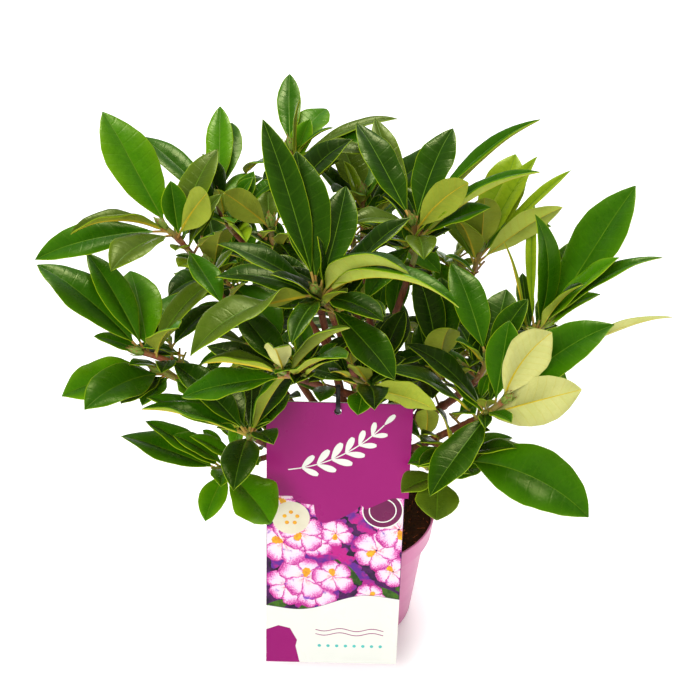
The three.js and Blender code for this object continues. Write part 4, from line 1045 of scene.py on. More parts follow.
# The strap is a soft dark band through the hole and round the bough of the low front shoot.
STRAP = dict(
    width=4, thickness=1.2, inner_radius=5.4, below_top=2.4, arc_steps=20, sides=12,
    room_for_bough=1.22,  # of the bough's radius
)
strap_near = on_label([(0, LABEL["top"] - STRAP["below_top"], label_front / 2)])[0]
carrier = limbs["front_low"]
crossing = next(i for i in range(1, LIMB_STEPS + 1)
                if (carrier.points[i, 0] - strap_near[0]) * (carrier.points[i - 1, 0] - strap_near[0]) <= 0)
before, after = carrier.points[crossing - 1], carrier.points[crossing]
held = before + (after - before) * (strap_near[0] - before[0]) / (after[0] - before[0])
strap_way = np.array((0, held[1] - strap_near[1], held[2] - strap_near[2]))
bough_room = STRAP["room_for_bough"] * carrier.radii[1]
strap_length = np.linalg.norm(strap_way) - STRAP["inner_radius"] + bough_room + 1.5 * GAP
strap_way = unit(strap_way)
strap_out = np.array((0, -strap_way[2], strap_way[1]))
strap_middle = STRAP["inner_radius"] + STRAP["thickness"] / 2

half_turns = np.linspace(0, math.pi, STRAP["arc_steps"])
strap_line = [(-strap_middle * math.sin(a), strap_middle * math.cos(a)) for a in half_turns]
strap_line += [(strap_length + strap_middle * math.sin(a), -strap_middle * math.cos(a)) for a in half_turns]
strap_rings = []
for i, (x, y) in enumerate(strap_line):
    ahead = np.array(strap_line[(i + 1) % len(strap_line)]) - np.array(strap_line[i - 1])
    outward = np.array((ahead[1], -ahead[0])) / np.linalg.norm(ahead)
    ring = []
    for k in range(STRAP["sides"]):
        angle = 2 * math.pi * k / STRAP["sides"]
        thick = STRAP["thickness"] / 2 * math.copysign(abs(math.cos(angle)) ** 0.5, math.cos(angle))
        wide = STRAP["width"] / 2 * math.copysign(abs(math.sin(angle)) ** 0.5, math.sin(angle))
        flat = np.array((x, y)) + outward * thick
        ring.append(strap_near + strap_way * flat[0] + strap_out * flat[1] + np.array((wide, 0, 0)))
    strap_rings.append(ring)
strap_rings.append(strap_rings[0])
strap_heap = Heap()
strap_heap.add(strap_rings, loft(strap_rings, False, False))
strap_finish = patched_finish("soft_dark_strap", rgb(36, 38, 42), rgb(26, 27, 30), 400.0, 0.45, relief=0.0001)
finish_piece(strap_heap.make("label_strap", [strap_finish]), "label_strap", "label_loop")


# ---------------------------------------------------------------- where each leaf grows
# The leaves stand in whorls round each terminal bud. The large leading leaves take their space
# first, then the golden angle deals the filling leaves, and last come the small leaves of the side
# twigs. A leaf that can find no clear space among its neighbours is left out.
STEM_TIP_RADIUS = 2
ROOT_BELOW_BUD = 2
ROOT_SPACING = 2.3
ROOT_OUT = 1.1
LEAF_STATIONS = (0.13, 0.38, 0.64, 0.86, 1)
LEAF_WIDTHS = (0.08, 0.8, 1, 0.62, 0)
PETIOLE_HALF_WIDTH = 1.1
PROBE_ROWS = 16
PROBE_COLUMNS = 3
LEAF_CLEARANCE = 5.5
OWN_CLEARANCE = 3
OWN_FREE_SHARE = 0.3
LIMB_CLEARANCE = 2.2
SOLID_CLEARANCE = 2.5
NUDGES = (
    (0, 0), (3, 0), (-3, 0), (0, 4), (0, -4), (6, 0), (-6, 0), (0, 8), (0, -8),
    (9, 6), (-9, 6), (9, -6), (-9, -6), (0, 14), (0, -14), (16, 0), (-16, 0),
)
NEIGHBOUR_MARGIN = 20  # beyond half the reach of both, from middle to middle, two leaves can't meet
# CROWN is the egg-shaped space that dealt leaves keep their tips inside. WINDOWS are gaps between the
# masses: round channels from the viewpoint through each centre, which dealt leaves keep free.
CROWN = dict(centre=(5, 20, 345), reach=(218, 215, 175))
VIEWPOINT = np.array(CAMERA_PLACE)
WINDOWS = (
    dict(centre=(130, 0, 399), radius=20), dict(centre=(149, 0, 419), radius=17),
    dict(centre=(87, 0, 431), radius=8), dict(centre=(51, 0, 533), radius=11),
    dict(centre=(2, 0, 512), radius=9), dict(centre=(-5, 0, 450), radius=8),
    dict(centre=(-170, 0, 409), radius=16), dict(centre=(-144, 0, 317), radius=9),
    dict(centre=(87, 0, 229), radius=6),
)
FOLD = (6, 20)  # degrees by which each half of a blade rises from the midrib
# width is a share of the reach; the other pairs are degrees, from the least to the most.
FILLING = dict(
    steepest=46, flattest=-12, jitter=9, shortest=74, longest=108, width=(0.33, 0.42), arch=(12, 45),
    roll=(-12, 12),
)
SIDE_TWIG = dict(
    shortest=16, longest=26, radius=1.5, leaves=2, leaf_shortest=36, leaf_longest=58,
    rise=(15, 55), width=(0.42, 0.5), arch=(12, 40),
)


def seeded_random(seed):
    """The same seed always gives the same run of numbers between 0 and 1."""
    state = seed

    def draw():
        nonlocal state
        state = (state * 1664525 + 1013904223) % 2**32
        return state / 2**32
    return draw


def between(draw, low, high):
    return low + (high - low) * draw()


def any_fold(draw):
    return math.radians(between(draw, *FOLD))


def heading_way(degrees):
    return np.array((math.cos(math.radians(degrees)), math.sin(math.radians(degrees)), 0))


def leaf_frame(leaf, share):
    """The middle line of a leaf at shares of its length, with the ways across and out of the blade."""
    share = np.asarray(share, float)[:, None]
    bend = math.radians(leaf["arch"])
    length = leaf["reach"] * bend / 2 / math.sin(bend / 2)
    first_pitch = math.radians(leaf["rise"]) + bend / 2
    pitch = first_pitch - bend * share
    out = length / bend * (math.sin(first_pitch) - np.sin(pitch))
    rise = length / bend * (np.cos(pitch) - math.cos(first_pitch))
    way = heading_way(leaf["heading"])
    centre = leaf["root"] + out * way + rise * np.array((0, 0, 1))
    level = np.array((-way[1], way[0], 0))
    upper = -np.sin(pitch) * way + np.cos(pitch) * np.array((0, 0, 1))
    roll = math.radians(leaf["roll"])
    side = level * math.cos(roll) + upper * math.sin(roll)
    normal = upper * math.cos(roll) - level * math.sin(roll)
    return centre, side, normal


def half_width(leaf, share):
    """Half the blade's width at shares of its length, straight between the stations."""
    blade = np.interp(share, LEAF_STATIONS, LEAF_WIDTHS) * leaf["width"] / 2
    return np.where(share <= LEAF_STATIONS[0], PETIOLE_HALF_WIDTH, np.maximum(blade, 0))


def leaf_probes(leaf):
    """Points spread over the blade, by which a leaf feels for its neighbours."""
    share = LEAF_STATIONS[0] + (1 - LEAF_STATIONS[0]) * np.arange(PROBE_ROWS) / (PROBE_ROWS - 1)
    centre, side, normal = leaf_frame(leaf, share)
    columns = np.arange(-PROBE_COLUMNS, PROBE_COLUMNS + 1) / PROBE_COLUMNS
    out = half_width(leaf, share)[:, None] * columns
    places = (centre[:, None] + side[:, None] * (out * math.cos(leaf["fold"]))[..., None]
              + normal[:, None] * (np.abs(out) * math.sin(leaf["fold"]))[..., None])
    return places.reshape(-1, 3), np.repeat(share, len(columns))


def distance_to_limb(places, limb):
    """From each place to the bark of the limb."""
    nearest = np.full(len(places), np.inf)
    for i in range(len(limb.points) - 1):
        step = limb.points[i + 1] - limb.points[i]
        share = np.clip((places - limb.points[i]) @ step / (step @ step), 0, 1)
        radius = limb.radii[i] + (limb.radii[i + 1] - limb.radii[i]) * share
        foot = limb.points[i] + share[:, None] * step
        nearest = np.minimum(nearest, np.linalg.norm(places - foot, axis=1) - radius)
    return nearest


def touches_pot_or_label(places):
    in_pot = ((np.hypot(places[:, 0], places[:, 1]) < POT["rim_radius"] + SOLID_CLEARANCE)
              & (places[:, 2] < POT["height"] + SOLID_CLEARANCE))
    flat = into_label(places)
    on_card = ((np.abs(flat[:, 0]) < LABEL["width"] / 2 + 2 * SOLID_CLEARANCE)
               & (flat[:, 1] > LABEL["bottom"]) & (flat[:, 1] < LABEL["top"] + SOLID_CLEARANCE)
               & (flat[:, 2] > -SOLID_CLEARANCE) & (flat[:, 2] < label_front + SOLID_CLEARANCE))
    reach = strap_length + STRAP["inner_radius"] + SOLID_CLEARANCE
    at_strap = ((np.linalg.norm(places - strap_near, axis=1) < reach)
                & (np.abs(places[:, 0] - strap_near[0]) < STRAP["width"] / 2 + SOLID_CLEARANCE))
    return bool((in_pot | on_card | at_strap).any())


stems = []  # every mass's stem and side twigs, with the mass they belong to
leaves = []  # every leaf that has found its space


def is_clear(mass, leaf):
    places, shares = leaf_probes(leaf)
    middle = leaf_frame(leaf, [0.5])[0][0]
    if touches_pot_or_label(places):
        return False
    near = list(limbs.values()) + [stem for owner, stem in stems if owner != mass]
    for limb in near:
        if (distance_to_limb(places, limb) < LIMB_CLEARANCE).any():
            return False
    for other in leaves:
        if np.linalg.norm(other["middle"] - middle) > (other["reach"] + leaf["reach"]) / 2 + NEIGHBOUR_MARGIN:
            continue
        own = other["mass"] == mass
        clearance, free = (OWN_CLEARANCE, OWN_FREE_SHARE) if own else (LEAF_CLEARANCE, 0)
        mine = places[shares >= free]
        theirs = other["probes"][other["shares"] >= free]
        apart = ((mine[:, None] - theirs[None]) ** 2).sum(axis=2)
        if apart.min() < clearance**2:
            return False
    leaf.update(probes=places, shares=shares, middle=middle)
    return True


def keeps_bounds(leaf):
    """True where the tip stays inside the crown and nothing hangs before the label or in a window."""
    tip = leaf_frame(leaf, [1])[0][0]
    if np.linalg.norm((tip - CROWN["centre"]) / CROWN["reach"]) >= 1:
        return False
    places, _ = leaf_probes(leaf)
    flat = into_label(places)
    if ((np.abs(flat[:, 0]) < LABEL["width"] / 2) & (flat[:, 1] < LABEL["top"]) & (flat[:, 2] > 0)).any():
        return False
    return not any(
        (np.linalg.norm(np.cross(places - VIEWPOINT, unit(np.array(window["centre"]) - VIEWPOINT)), axis=1)
         < window["radius"]).any()
        for window in WINDOWS)


def place_leaf(mass, leaf):
    """A leaf takes the first of its small nudges that is clear; with none clear it is left out."""
    for turn, lift in NUDGES:
        tried = dict(leaf, mass=mass, heading=leaf["heading"] + turn, rise=leaf["rise"] + lift)
        if (not leaf.get("bounded") or keeps_bounds(tried)) and is_clear(mass, tried):
            leaves.append(tried)
            return


def root_on(stem, below, heading):
    """Where a leaf of a heading springs from a stem, a length below its tip."""
    length = np.linalg.norm(stem.points[-1] - stem.points[0])
    return stem.at(max(1 - below / length, 0.05)) + ROOT_OUT * heading_way(heading)


def other_tone(mass):
    return mass["rest"][int(mass["tone_draw"]() * len(mass["rest"]))]


masses = []
for shoot in SHOOTS:
    onward = limbs[shoot["name"]].end_way()
    foot = np.array(shoot["foot"]) + onward * GAP
    head = np.array(shoot["head"], float)
    past = foot + onward * np.linalg.norm(head - foot) / 2
    stem = Limb(foot, past, head, (shoot["radii"][1], STEM_TIP_RADIUS), 3)
    draw = seeded_random(shoot["seed"])
    springs = stem.at(between(draw, 0.3, 0.6))
    twig_heading = 360 * draw()
    length = between(draw, SIDE_TWIG["shortest"], SIDE_TWIG["longest"])
    twig_tip = springs + (0.8 * heading_way(twig_heading) + np.array((0, 0, 0.6))) * length
    twig = Limb(springs, (springs + twig_tip) / 2, twig_tip, (SIDE_TWIG["radius"], 1.2), 1)
    masses.append(dict(
        shoot, stem=stem, twig=twig, draw=draw, twig_heading=twig_heading,
        tone_draw=seeded_random(900 + shoot["seed"]),
    ))
    stems += [(shoot["name"], stem), (shoot["name"], twig)]

for mass in masses:
    for i, row in enumerate(mass["leading"]):
        heading, rise, reach, width, arch, roll, lower = (*row, 0, 0)[:7]
        root = root_on(mass["stem"], ROOT_BELOW_BUD + ROOT_SPACING * i + lower, heading)
        level, lift = reach * math.cos(math.radians(rise)), reach * math.sin(math.radians(rise))
        tip = np.array(mass["head"]) + level * heading_way(heading) + (0, 0, lift)
        way = tip - root
        far = np.linalg.norm(way)
        place_leaf(mass["name"], dict(
            root=root, heading=math.degrees(math.atan2(way[1], way[0])), reach=far,
            rise=math.degrees(math.asin(way[2] / far)), width=width, arch=arch, roll=roll,
            fold=any_fold(mass["draw"]), tone=mass["tones"][i],
            curl=mass.get("curls", {}).get(i, "none"),
        ))

for mass in masses:
    draw = mass["draw"]
    for k in range(mass["filling"]):
        share = k / (mass["filling"] - 1) if mass["filling"] > 1 else 0.5
        heading = mass["turn"] + GOLDEN_ANGLE * k + between(draw, -FILLING["jitter"], FILLING["jitter"])
        below = ROOT_BELOW_BUD + ROOT_SPACING * (len(mass["leading"]) + k)
        reach = between(draw, FILLING["shortest"], FILLING["longest"])
        place_leaf(mass["name"], dict(
            root=root_on(mass["stem"], below, heading), heading=heading,
            rise=(FILLING["steepest"] + (FILLING["flattest"] - FILLING["steepest"]) * share
                  + between(draw, -FILLING["jitter"], FILLING["jitter"])),
            reach=reach, width=reach * between(draw, *FILLING["width"]),
            arch=between(draw, *FILLING["arch"]), roll=between(draw, *FILLING["roll"]),
            fold=any_fold(draw), bounded=True, tone=other_tone(mass),
        ))

for mass in masses:
    draw = mass["draw"]
    for k in range(SIDE_TWIG["leaves"]):
        reach = between(draw, SIDE_TWIG["leaf_shortest"], SIDE_TWIG["leaf_longest"])
        heading = mass["twig_heading"] + (45 if k == 0 else -60) + between(draw, -15, 15)
        stem = mass["twig"]
        place_leaf(mass["name"], dict(
            root=stem.points[-1] + (stem.points[0] - stem.points[-1]) * (0.12 + 0.2 * k),
            heading=heading, rise=between(draw, *SIDE_TWIG["rise"]), reach=reach,
            width=reach * between(draw, *SIDE_TWIG["width"]), arch=between(draw, *SIDE_TWIG["arch"]), roll=0,
            fold=any_fold(draw), bounded=True, tone=other_tone(mass),
        ))

# The rule goes on to finer twigs: short spurs low on each stem and on the bough below it, with a few
# young leaves of their own.
SPUR = dict(
    twigs=9, shortest=9, longest=20, radius=1.1, leaf_shortest=26, leaf_longest=58, leaves=3,
    rise=(20, 60), width=(0.4, 0.48), arch=(12, 40),
)
spurs = []
for mass in masses:
    draw = mass["draw"]
    for number in range(SPUR["twigs"]):
        on_bough = number % 2 == 1
        limb, reaches = (limbs[mass["name"]], (0.2, 0.95)) if on_bough else (mass["stem"], (0.05, 0.45))
        springs = limb.at(between(draw, *reaches))
        heading = 360 * draw()
        length = between(draw, SPUR["shortest"], SPUR["longest"])
        tip = springs + (0.75 * heading_way(heading) + np.array((0, 0, 0.66))) * length
        spur = Limb(springs, (springs + tip) / 2, tip, (SPUR["radius"], 0.9), 1)
        held_leaves = len(leaves)
        for k in range(SPUR["leaves"]):
            reach = between(draw, SPUR["leaf_shortest"], SPUR["leaf_longest"])
            place_leaf(mass["name"], dict(
                root=tip - (tip - springs) * (0.1 + 0.2 * k),
                heading=heading + 120 * k + between(draw, -20, 20),
                rise=between(draw, *SPUR["rise"]), reach=reach, width=reach * between(draw, *SPUR["width"]),
                arch=between(draw, *SPUR["arch"]), roll=0, fold=any_fold(draw), bounded=True,
                tone=other_tone(mass),
            ))
        if len(leaves) > held_leaves:
            spurs.append(spur)


# ---------------------------------------------------------------- leaves
# Leathery evergreen blades on short stout petioles: glossy green above with a sunken paler midrib,
# matt and pale yellow-green below with a raised rib, and a thin yellow-green margin that turns down.
BLADE_ROW = 2.3  # spacing of the rows of a blade's mesh
FEWEST_ROWS = 14
ROW_CROWDING = 0.96  # below 1 the rows stand closer towards the tip
LEAST_HALF_WIDTH = 0.25
OUTLINE_STATIONS = (0.09, 0.13, 0.2, 0.28, 0.38, 0.5, 0.62, 0.74, 0.86, 0.94, 0.98, 1.0)
OUTLINE_WIDTHS = (0.0, 0.07, 0.27, 0.52, 0.79, 0.94, 1.0, 0.89, 0.61, 0.31, 0.11, 0.02)
WIDEST_SHIFT = (0.84, 1.06)  # below 1 the blade is widest nearer its foot
PETIOLE_SHARE = 0.125
PETIOLE_WIDENS = (0.085, 0.16)  # shares of the length between which the petiole becomes the blade
MARGIN_WIDTH = 0.55
BLADE_THICKNESS = 0.75
RIM_THICKNESS = 0.45
RIB_WIDTH = (1.0, 0.3)  # of the midrib at the blade's foot and at its tip
RIB_DEPTH = (1.5, 0.35)  # below the blade
GROOVE_DEPTH = 0.5
VEIN_SPACING = 7.5
VEIN_RELIEF = 0.16
WAVE = 0.09  # of the half width
WAVE_COUNT = (1.6, 2.8)
WAVE_SLACK = (0.3, 1.0)
TWIST = 26  # degrees, at most, from foot to tip
SICKLE = 0.03  # of the reach, sideways
TIP_DROOP = 0.035  # of the reach
DROOP_RUN = (0.72, 1.15)  # shares of the length
TOP_COLUMNS = (0.8, 0.52, 0.26)
UNDER_COLUMNS = (0.55,)
MORE_FOLD = 12  # degrees, at most, beyond the fold by which the leaf found its space


def curled(fold=0, roll=0, foot_twist=0, underside="plain"):
    """How a blade is curled, in degrees beyond its own fold and roll, and the finish of its underside."""
    return dict(fold=fold, roll=roll, foot_twist=foot_twist, underside=underside)


# Curls with a fresh or a pale underside give the leaf a lighter underside finish, partly painted light.
CURLS = dict(
    none=curled(),
    near=curled(fold=30, roll=14),  # the half nearest the front stands up
    lip=curled(fold=22, roll=22, underside="fresh"),  # the same, broader
    crease=curled(fold=28, roll=-16, underside="fresh"),  # rolled back, its near half standing
    cupped=curled(fold=18),  # both halves stand up
    under=curled(fold=8, roll=88),  # the underside shows
    over=curled(fold=12, roll=-45, underside="fresh"),  # rolled back much further than a crease
    book=curled(fold=26, underside="pale"),  # half closed, pale below
    foot=curled(fold=6, foot_twist=70),  # turned over at its foot only
    pale=curled(underside="pale"),
)

# Each tone has its two blotched greens and the green of the blade's edge. The tones are partly each
# leaf's own green and partly painted light and shade: k and d are darkened in part as painted shade deep
# in the crown, b and y are lightened in part as painted light on the upper, back-lit leaves, and o
# carries a painted sheen.
TONES_WITH_PAINTED_LIGHT = dict(
    k=(rgb(18, 44, 2), rgb(11, 32, 2), rgb(34, 68, 3)),
    d=(rgb(29, 64, 2), rgb(19, 48, 2), rgb(50, 90, 3)),
    m=(rgb(45, 92, 2), rgb(31, 75, 2), rgb(72, 120, 4)),
    b=(rgb(68, 120, 2), rgb(48, 100, 2), rgb(110, 154, 6)),
    y=(rgb(128, 152, 20), rgb(102, 134, 14), rgb(156, 172, 36)),
    # o: olive green with a painted sheen, the grey gloss of leaves lit from above
    o=(rgb(72, 92, 18), rgb(55, 76, 12), rgb(94, 114, 22)),
)
MARGIN_GREEN = (rgb(146, 166, 16), rgb(118, 150, 12))
MIDRIB_GREEN = (rgb(96, 128, 20), rgb(70, 106, 12))
# The undersides: plain is darkened in part as painted shade for undersides deep in the crown; fresh and pale
# are lightened in part as painted light for undersides that face the light.
LIT_AND_SHADED_UNDERSIDES = dict(
    plain=(rgb(150, 160, 54), rgb(130, 144, 42)),
    fresh=(rgb(176, 186, 84), rgb(160, 174, 66)),
    pale=(rgb(190, 188, 120), rgb(176, 178, 102)),
)
UNDER_RIB = (rgb(196, 172, 34), rgb(178, 158, 38))
PETIOLE = (rgb(168, 160, 62), rgb(164, 110, 62))
SHEEN_TINT = (0.9, 1.0, 0.3, 1.0)

veins, made, given, wanted = shader_group(
    "side_veins", [("Float", "Pairs", 12.0), ("Float", "Slant", 0.7)], [("Float", "Vein"), ("Float", "Edge")])
blade_uv = made.add("ShaderNodeSeparateXYZ", {0: made.add("ShaderNodeTexCoord").outputs["UV"]})
out_share = made.math("ABSOLUTE", made.math("MULTIPLY", made.math("SUBTRACT", blade_uv.outputs[0], 0.5), 2.0))
run = made.math("SUBTRACT", made.math("MULTIPLY", blade_uv.outputs[1], given["Pairs"]),
                made.math("MULTIPLY", made.math("POWER", out_share, 1.2), given["Slant"]))
saw = made.math("ABSOLUTE", made.math("SUBTRACT", made.math("FRACT", run), 0.5))
made.tree.links.new(made.spread(saw, 0.1, 0.0), wanted["Vein"])
made.tree.links.new(made.math("POWER", out_share, 2.6), wanted["Edge"])


def blade_finish(name, colours, edge, roughness, vein_colour, *,
                 vein_share=0.14, relief=0.0004, specular=0.32):
    """A leaf's surface: two blotched greens, paler to the edge, with faint veins and a leathery grain."""
    material, nodes, shader = new_finish(name, roughness, specular)
    shader.inputs["Specular Tint"].default_value = SHEEN_TINT
    blotched = add_patches(nodes, colours[0], colours[1], 22.0, 0.5, 0.16)
    flecked = add_patches(nodes, blotched["Colour"], colours[1], 330.0, 0.4, 0.25)
    rippled = add_patches(nodes, flecked["Colour"], colours[0], 70.0, 0.35, 0.2)
    lines = nodes.add("ShaderNodeGroup", node_tree=veins).outputs
    edged = nodes.mix(nodes.math("MULTIPLY", lines["Edge"], 0.55), rippled["Colour"], edge)
    veined = nodes.mix(nodes.math("MULTIPLY", lines["Vein"], vein_share), edged, vein_colour)
    nodes.tree.links.new(veined, shader.inputs["Base Color"])
    gloss = nodes.spread(rippled["Height"], 0.3, 0.7, roughness - 0.08, roughness + 0.12)
    nodes.tree.links.new(gloss, shader.inputs["Roughness"])
    grain = nodes.math("MULTIPLY", flecked["Height"], 0.5)
    waves = nodes.math("ADD", grain, nodes.math("MULTIPLY", rippled["Height"], 2.2))
    height = nodes.math("SUBTRACT", waves, nodes.math("MULTIPLY", lines["Vein"], 0.35))
    add_bump(nodes, shader, height, relief, 0.7)
    return material


leaf_finishes = [
    blade_finish(f"leaf_green_{letter}", (first, second), edge, 0.3, MIDRIB_GREEN[1])
    for letter, (first, second, edge) in TONES_WITH_PAINTED_LIGHT.items()
]
leaf_finishes += [
    patched_finish("leaf_margin", *MARGIN_GREEN, 120.0, 0.45, specular=0.2),
    patched_finish("leaf_midrib", *MIDRIB_GREEN, 120.0, 0.42, specular=0.2),
    patched_finish("leaf_underside_rib", *UNDER_RIB, 120.0, 0.5, specular=0.2),
    patched_finish("petiole", *PETIOLE, 90.0, 0.45, specular=0.2),
]
MARGIN, MIDRIB, UNDER_MIDRIB, STALK, FIRST_UNDERSIDE = range(len(TONES_WITH_PAINTED_LIGHT), len(TONES_WITH_PAINTED_LIGHT) + 5)
# The underside finishes, one for each of the painted lit and shaded undersides above.
leaf_finishes += [
    blade_finish(f"leaf_underside_{word}", colours, colours[0], 0.62, UNDER_RIB[1], vein_share=0.22,
                 relief=0.0005, specular=0.15)
    for word, colours in LIT_AND_SHADED_UNDERSIDES.items()
]


def smooth_outline(share):
    """Half the blade's width as a share of its greatest, smooth through the stations."""
    fine = np.linspace(0, 1, 200)
    drawn = np.interp(fine, OUTLINE_STATIONS, OUTLINE_WIDTHS)
    kernel = np.hanning(13)
    padded = np.pad(drawn, 6, mode="edge")
    eased = np.convolve(padded, kernel / kernel.sum(), mode="valid")
    ends = np.clip((fine - 0.93) / 0.05, 0, 1)
    return np.interp(share, fine, eased * (1 - ends) + drawn * ends)


def ease(value, low, high):
    t = np.clip((value - low) / (high - low), 0, 1)
    return t * t * (3 - 2 * t)


def blade(leaf, draw):
    """Rings, faces, finishes and UVs of one leaf with its petiole, a thin closed body."""
    curl = CURLS[leaf.get("curl", "none")]
    toward_front = -1 if math.cos(math.radians(leaf["heading"])) > 0 else 1
    rows = max(int(leaf["reach"] / BLADE_ROW), FEWEST_ROWS)
    share = np.linspace(0, 1, rows) ** ROW_CROWDING
    centre, side, normal = leaf_frame(dict(leaf, roll=leaf["roll"] + toward_front * curl["roll"]), share)
    outline = smooth_outline(share ** between(draw, *WIDEST_SHIFT))
    half = np.maximum(outline * leaf["width"] / 2, LEAST_HALF_WIDTH)
    twist = np.radians(between(draw, -TWIST, TWIST)) * (share - 0.5)
    twist = twist + toward_front * np.radians(curl["foot_twist"]) * (1 - ease(share, 0.2, 0.6))
    side, normal = (side * np.cos(twist)[:, None] + normal * np.sin(twist)[:, None],
                    normal * np.cos(twist)[:, None] - side * np.sin(twist)[:, None])
    bow = between(draw, -SICKLE, SICKLE) * leaf["reach"] * 4 * share * (1 - share)
    droop = TIP_DROOP * leaf["reach"] * ease(share, *DROOP_RUN)
    centre = centre + side * bow[:, None] - normal * droop[:, None]
    wave_phase, wave_count = between(draw, 0, FULL_TURN), between(draw, *WAVE_COUNT)
    slack = between(draw, *WAVE_SLACK)
    is_blade = ease(share, *PETIOLE_WIDENS)
    rib = np.interp(share, (0.13, 1), RIB_WIDTH) / 2
    depth = np.interp(share, (0.13, 1), RIB_DEPTH)
    rib_in_half = np.minimum(rib / half, 0.2)
    margin_in_half = np.maximum(1 - MARGIN_WIDTH / half, 0.84)
    zero, one = np.zeros(rows), np.ones(rows)
    top = [one, margin_in_half] + [one * c for c in TOP_COLUMNS] + [rib_in_half, zero]
    top = top + [-u for u in top[-2::-1]]
    under = [margin_in_half * -0.985] + [one * -c for c in UNDER_COLUMNS]
    under += [-2.2 * rib_in_half, -0.8 * rib_in_half]
    under = [-one * 0.99] + under + [zero] + [-u for u in under[::-1]] + [one * 0.99]
    across = np.array(top + under).T
    count_top = len(top)
    count = across.shape[1]
    u = np.abs(across)
    folded = leaf["fold"] + math.radians(curl["fold"] + between(draw, 0, MORE_FOLD))
    fold = math.sin(folded) * 1.15
    height = half[:, None] * fold * u * (1 - 0.62 * u**2)
    height += half[:, None] * WAVE * slack * u**2 * np.sin(
        FULL_TURN * wave_count * share[:, None] + wave_phase + 1.4 * np.sign(across))
    vein_run = share[:, None] * leaf["reach"] / VEIN_SPACING - 0.75 * u**1.2 * half[:, None] / VEIN_SPACING
    quilt = np.cos(FULL_TURN * vein_run) * VEIN_RELIEF * np.minimum(half[:, None] / 14, 1)
    height += quilt * np.sin(math.pi * u**0.8)
    height[:, :count_top] -= GROOVE_DEPTH * np.exp(-((u[:, :count_top] * half[:, None] / 1.1) ** 2))
    thick = RIM_THICKNESS + (BLADE_THICKNESS - RIM_THICKNESS) * (1 - u**2)
    height[:, count_top:] -= thick[:, count_top:]
    height[:, count_top:] -= depth[:, None] * np.exp(
        -((u[:, count_top:] * half[:, None] / (1.5 * rib[:, None])) ** 2))
    flat_x = across * half[:, None] * (1 - (1 - math.cos(folded)) * u)
    # Yellow-green leaves take the lighter fresh underside unless their curl sets one, painted light for
    # undersides that fall in shade.
    underside = "fresh" if leaf["tone"] == "y" and curl["underside"] == "plain" else curl["underside"]
    under_finish = FIRST_UNDERSIDE + list(LIT_AND_SHADED_UNDERSIDES).index(underside)
    angles = np.concatenate([np.linspace(0.12, math.pi - 0.12, count_top),
                             np.linspace(math.pi + 0.12, 2 * math.pi - 0.12, count - count_top)])
    stalk = PETIOLE_HALF_WIDTH * (1 + 0.35 * np.exp(-share / 0.03))[:, None]
    stalk_x, stalk_y = stalk * np.cos(angles), stalk * np.sin(angles) * 0.9 - 0.3
    blend = is_blade[:, None]
    x = stalk_x * (1 - blend) + flat_x * blend
    y = stalk_y * (1 - blend) + height * blend
    rings = centre[:, None] + side[:, None] * x[..., None] + normal[:, None] * y[..., None]
    faces = loft(rings)
    middle = count_top // 2
    column_finish = []
    for column in range(count):
        if column in (0, count_top - 2, count_top - 1, count - 1):
            column_finish.append(MARGIN)
        elif column in (middle - 1, middle):
            column_finish.append(MIDRIB)
        elif column < count_top - 1:
            column_finish.append(list(TONES_WITH_PAINTED_LIGHT).index(leaf["tone"]))
        elif abs(column - (count_top + count - 1) / 2) < 2:
            column_finish.append(UNDER_MIDRIB)
        else:
            column_finish.append(under_finish)
    finishes = []
    for row in range(rows - 1):
        finishes += [STALK] * count if share[row + 1] < PETIOLE_SHARE else column_finish
    finishes += [STALK, MARGIN]
    uvs = np.stack([0.5 + across / 2, np.repeat(share[:, None], count, axis=1)], axis=-1)
    return rings, faces, finishes, uvs.reshape(-1, 2)


for number, mass in enumerate(masses):
    foliage = Heap()
    leaf_draw = seeded_random(500 + number)
    for leaf in leaves:
        if leaf["mass"] == mass["name"]:
            foliage.add(*blade(leaf, leaf_draw))
    piece = foliage.make(f"foliage_{mass['name']}", leaf_finishes)
    finish_piece(piece, "foliage", f"leaves_{mass['name']}")


# ---------------------------------------------------------------- young stems and twigs
# The last stretch of each bough, still soft and green with a reddish bark, its side twig and its
# spurs, a little swollen where leaves spring.
STEM_SIDES = 12
SPUR_SIDES = 8
STEM_SUNK = 2  # of each stem's foot in its bough
YOUNG_RELIEF = dict(grain=0.16, leaf_base=0.22, spacing=6)  # spacing of the swellings where leaves spring
YOUNG_GREEN = rgb(120, 122, 52)
YOUNG_RED = rgb(140, 74, 50)

stem_heap = Heap()


def stem_relief(seed):
    def relief(angle, along):
        spot = Vector((math.cos(angle), math.sin(angle), along * 0.12 + 5 * seed))
        round_stem = 2 * math.pi * along / YOUNG_RELIEF["spacing"] + angle
        swelling = YOUNG_RELIEF["leaf_base"] * max(math.cos(round_stem), 0) ** 6
        return YOUNG_RELIEF["grain"] * noise.noise(spot * 2) + swelling
    return relief


def add_young_stem(curve, steps, radii, sides, seed, sunk=0):
    line = quadratic(*curve, steps)
    line[0] -= sunk
    rings = round_limb(line, np.linspace(*radii, steps + 1), sides, stem_relief(seed))
    stem_heap.add(rings, loft(rings))


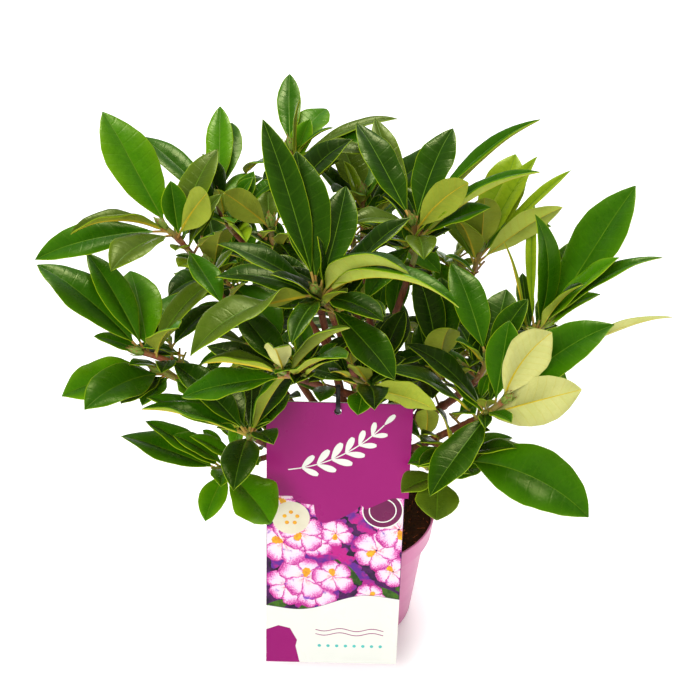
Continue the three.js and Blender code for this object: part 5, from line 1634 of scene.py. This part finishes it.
for number, mass in enumerate(masses):
    sunk = limbs[mass["name"]].end_way() * STEM_SUNK
    stem_radii = (mass["radii"][1], STEM_TIP_RADIUS + 0.6)
    add_young_stem(mass["stem"].curve, 16, stem_radii, STEM_SIDES, number, sunk)
    add_young_stem(mass["twig"].curve, 8, (SIDE_TWIG["radius"] + 0.3, 1.4), STEM_SIDES, number + 40)
for number, spur in enumerate(spurs):
    add_young_stem(spur.curve, 5, (SPUR["radius"] + 0.2, 0.9), SPUR_SIDES, number + 80)
stem_finish = patched_finish(
    "young_stem_bark", YOUNG_RED, YOUNG_GREEN, 55.0, 0.5, relief=0.0005, stretch=(1, 1, 0.6), softness=0.12)
stem_piece = stem_heap.make("young_stems", [stem_finish])
all_masses = [f"leaves_{mass['name']}" for mass in masses]
finish_piece(stem_piece, "bark", *all_masses)


# ---------------------------------------------------------------- buds
# A pointed bud ends each stem and side twig: green scales wrapped round one another by the golden
# angle, their tips brown, with a few narrow bracts that stand away at its foot.
BUD = dict(length=14, radius=3.6, scales=11, bracts=4, scale_length=8.5, bract_length=13)
SCALE_ROWS = 6
# The section of a scale, each point a share of its half width and a depth.
SCALE_SECTION = ((1, 0), (0.5, 0.1), (0, 0.14), (-0.5, 0.1), (-1, 0), (-0.5, -0.35), (0.5, -0.35))
bud_heap = Heap()
bud_green = patched_finish("bud_scales", rgb(132, 150, 58), rgb(104, 128, 44), 140.0, 0.5, relief=0.0003)
bud_tip = patched_finish("bud_scale_tips", rgb(150, 118, 60), rgb(120, 84, 44), 200.0, 0.6, relief=0.0003)
BUD_GREEN, BUD_TIP = range(2)


def spindle(share, radius):
    """The bud's radius at a share of its length."""
    return radius * np.interp(share, (0, 0.25, 0.55, 0.85, 1), (0.7, 0.95, 0.92, 0.42, 0.03))


def add_bud(heap, foot, way, length, radius, scales, bracts, turn):
    across = unit(np.cross(way, (0.3, 0.2, 1.0)))
    up = np.cross(way, across)
    around = np.linspace(0, 2 * math.pi, 10, endpoint=False)
    core = [[foot + way * length * s + (across * math.cos(a) + up * math.sin(a)) * spindle(s, radius) * 0.92
             for a in around] for s in np.linspace(0, 1, 9)]
    heap.add(core, loft(core), BUD_GREEN)
    for k in range(scales + bracts):
        is_bract = k < bracts
        angle = math.radians(GOLDEN_ANGLE) * k + turn
        start = 0.0 if is_bract else 0.62 * (k - bracts) / scales
        run_length = (BUD["bract_length"] if is_bract else BUD["scale_length"]) * length / BUD["length"]
        lean = 0.55 if is_bract else 0.05
        widest = (0.75 if is_bract else 1.05) * radius
        rings = []
        for s in np.linspace(0, 1, SCALE_ROWS):
            half = widest * (1 - s**1.7) * (0.75 + 0.5 * s) * 0.8 + 0.04
            along = start * length + s * run_length
            out = spindle(min(along / length, 1), radius) + 0.25 + lean * run_length * s**1.6 * 0.55
            bulge = min(half / max(out, 0.6), 1.1)
            ring = []
            for side_share, depth in SCALE_SECTION:
                a = angle + side_share * bulge
                ring.append(foot + way * along + (across * math.cos(a) + up * math.sin(a)) * (out + depth))
            rings.append(ring)
        faces = loft(rings)
        first_of_tip = len(SCALE_SECTION) * (SCALE_ROWS - 2)
        finishes = [BUD_TIP if face[0] >= first_of_tip else BUD_GREEN for face in faces]
        heap.add(rings, faces, finishes)


for number, mass in enumerate(masses):
    stem, twig = mass["stem"], mass["twig"]
    add_bud(bud_heap, stem.points[-1] - stem.end_way() * 1.5, stem.end_way(), BUD["length"], BUD["radius"],
            BUD["scales"], BUD["bracts"], number)
    add_bud(bud_heap, twig.points[-1] - twig.end_way(), twig.end_way(), BUD["length"] * 0.5,
            BUD["radius"] * 0.5, 6, 2, number + 0.5)
finish_piece(bud_heap.make("buds", [bud_green, bud_tip]), "foliage", *all_masses)
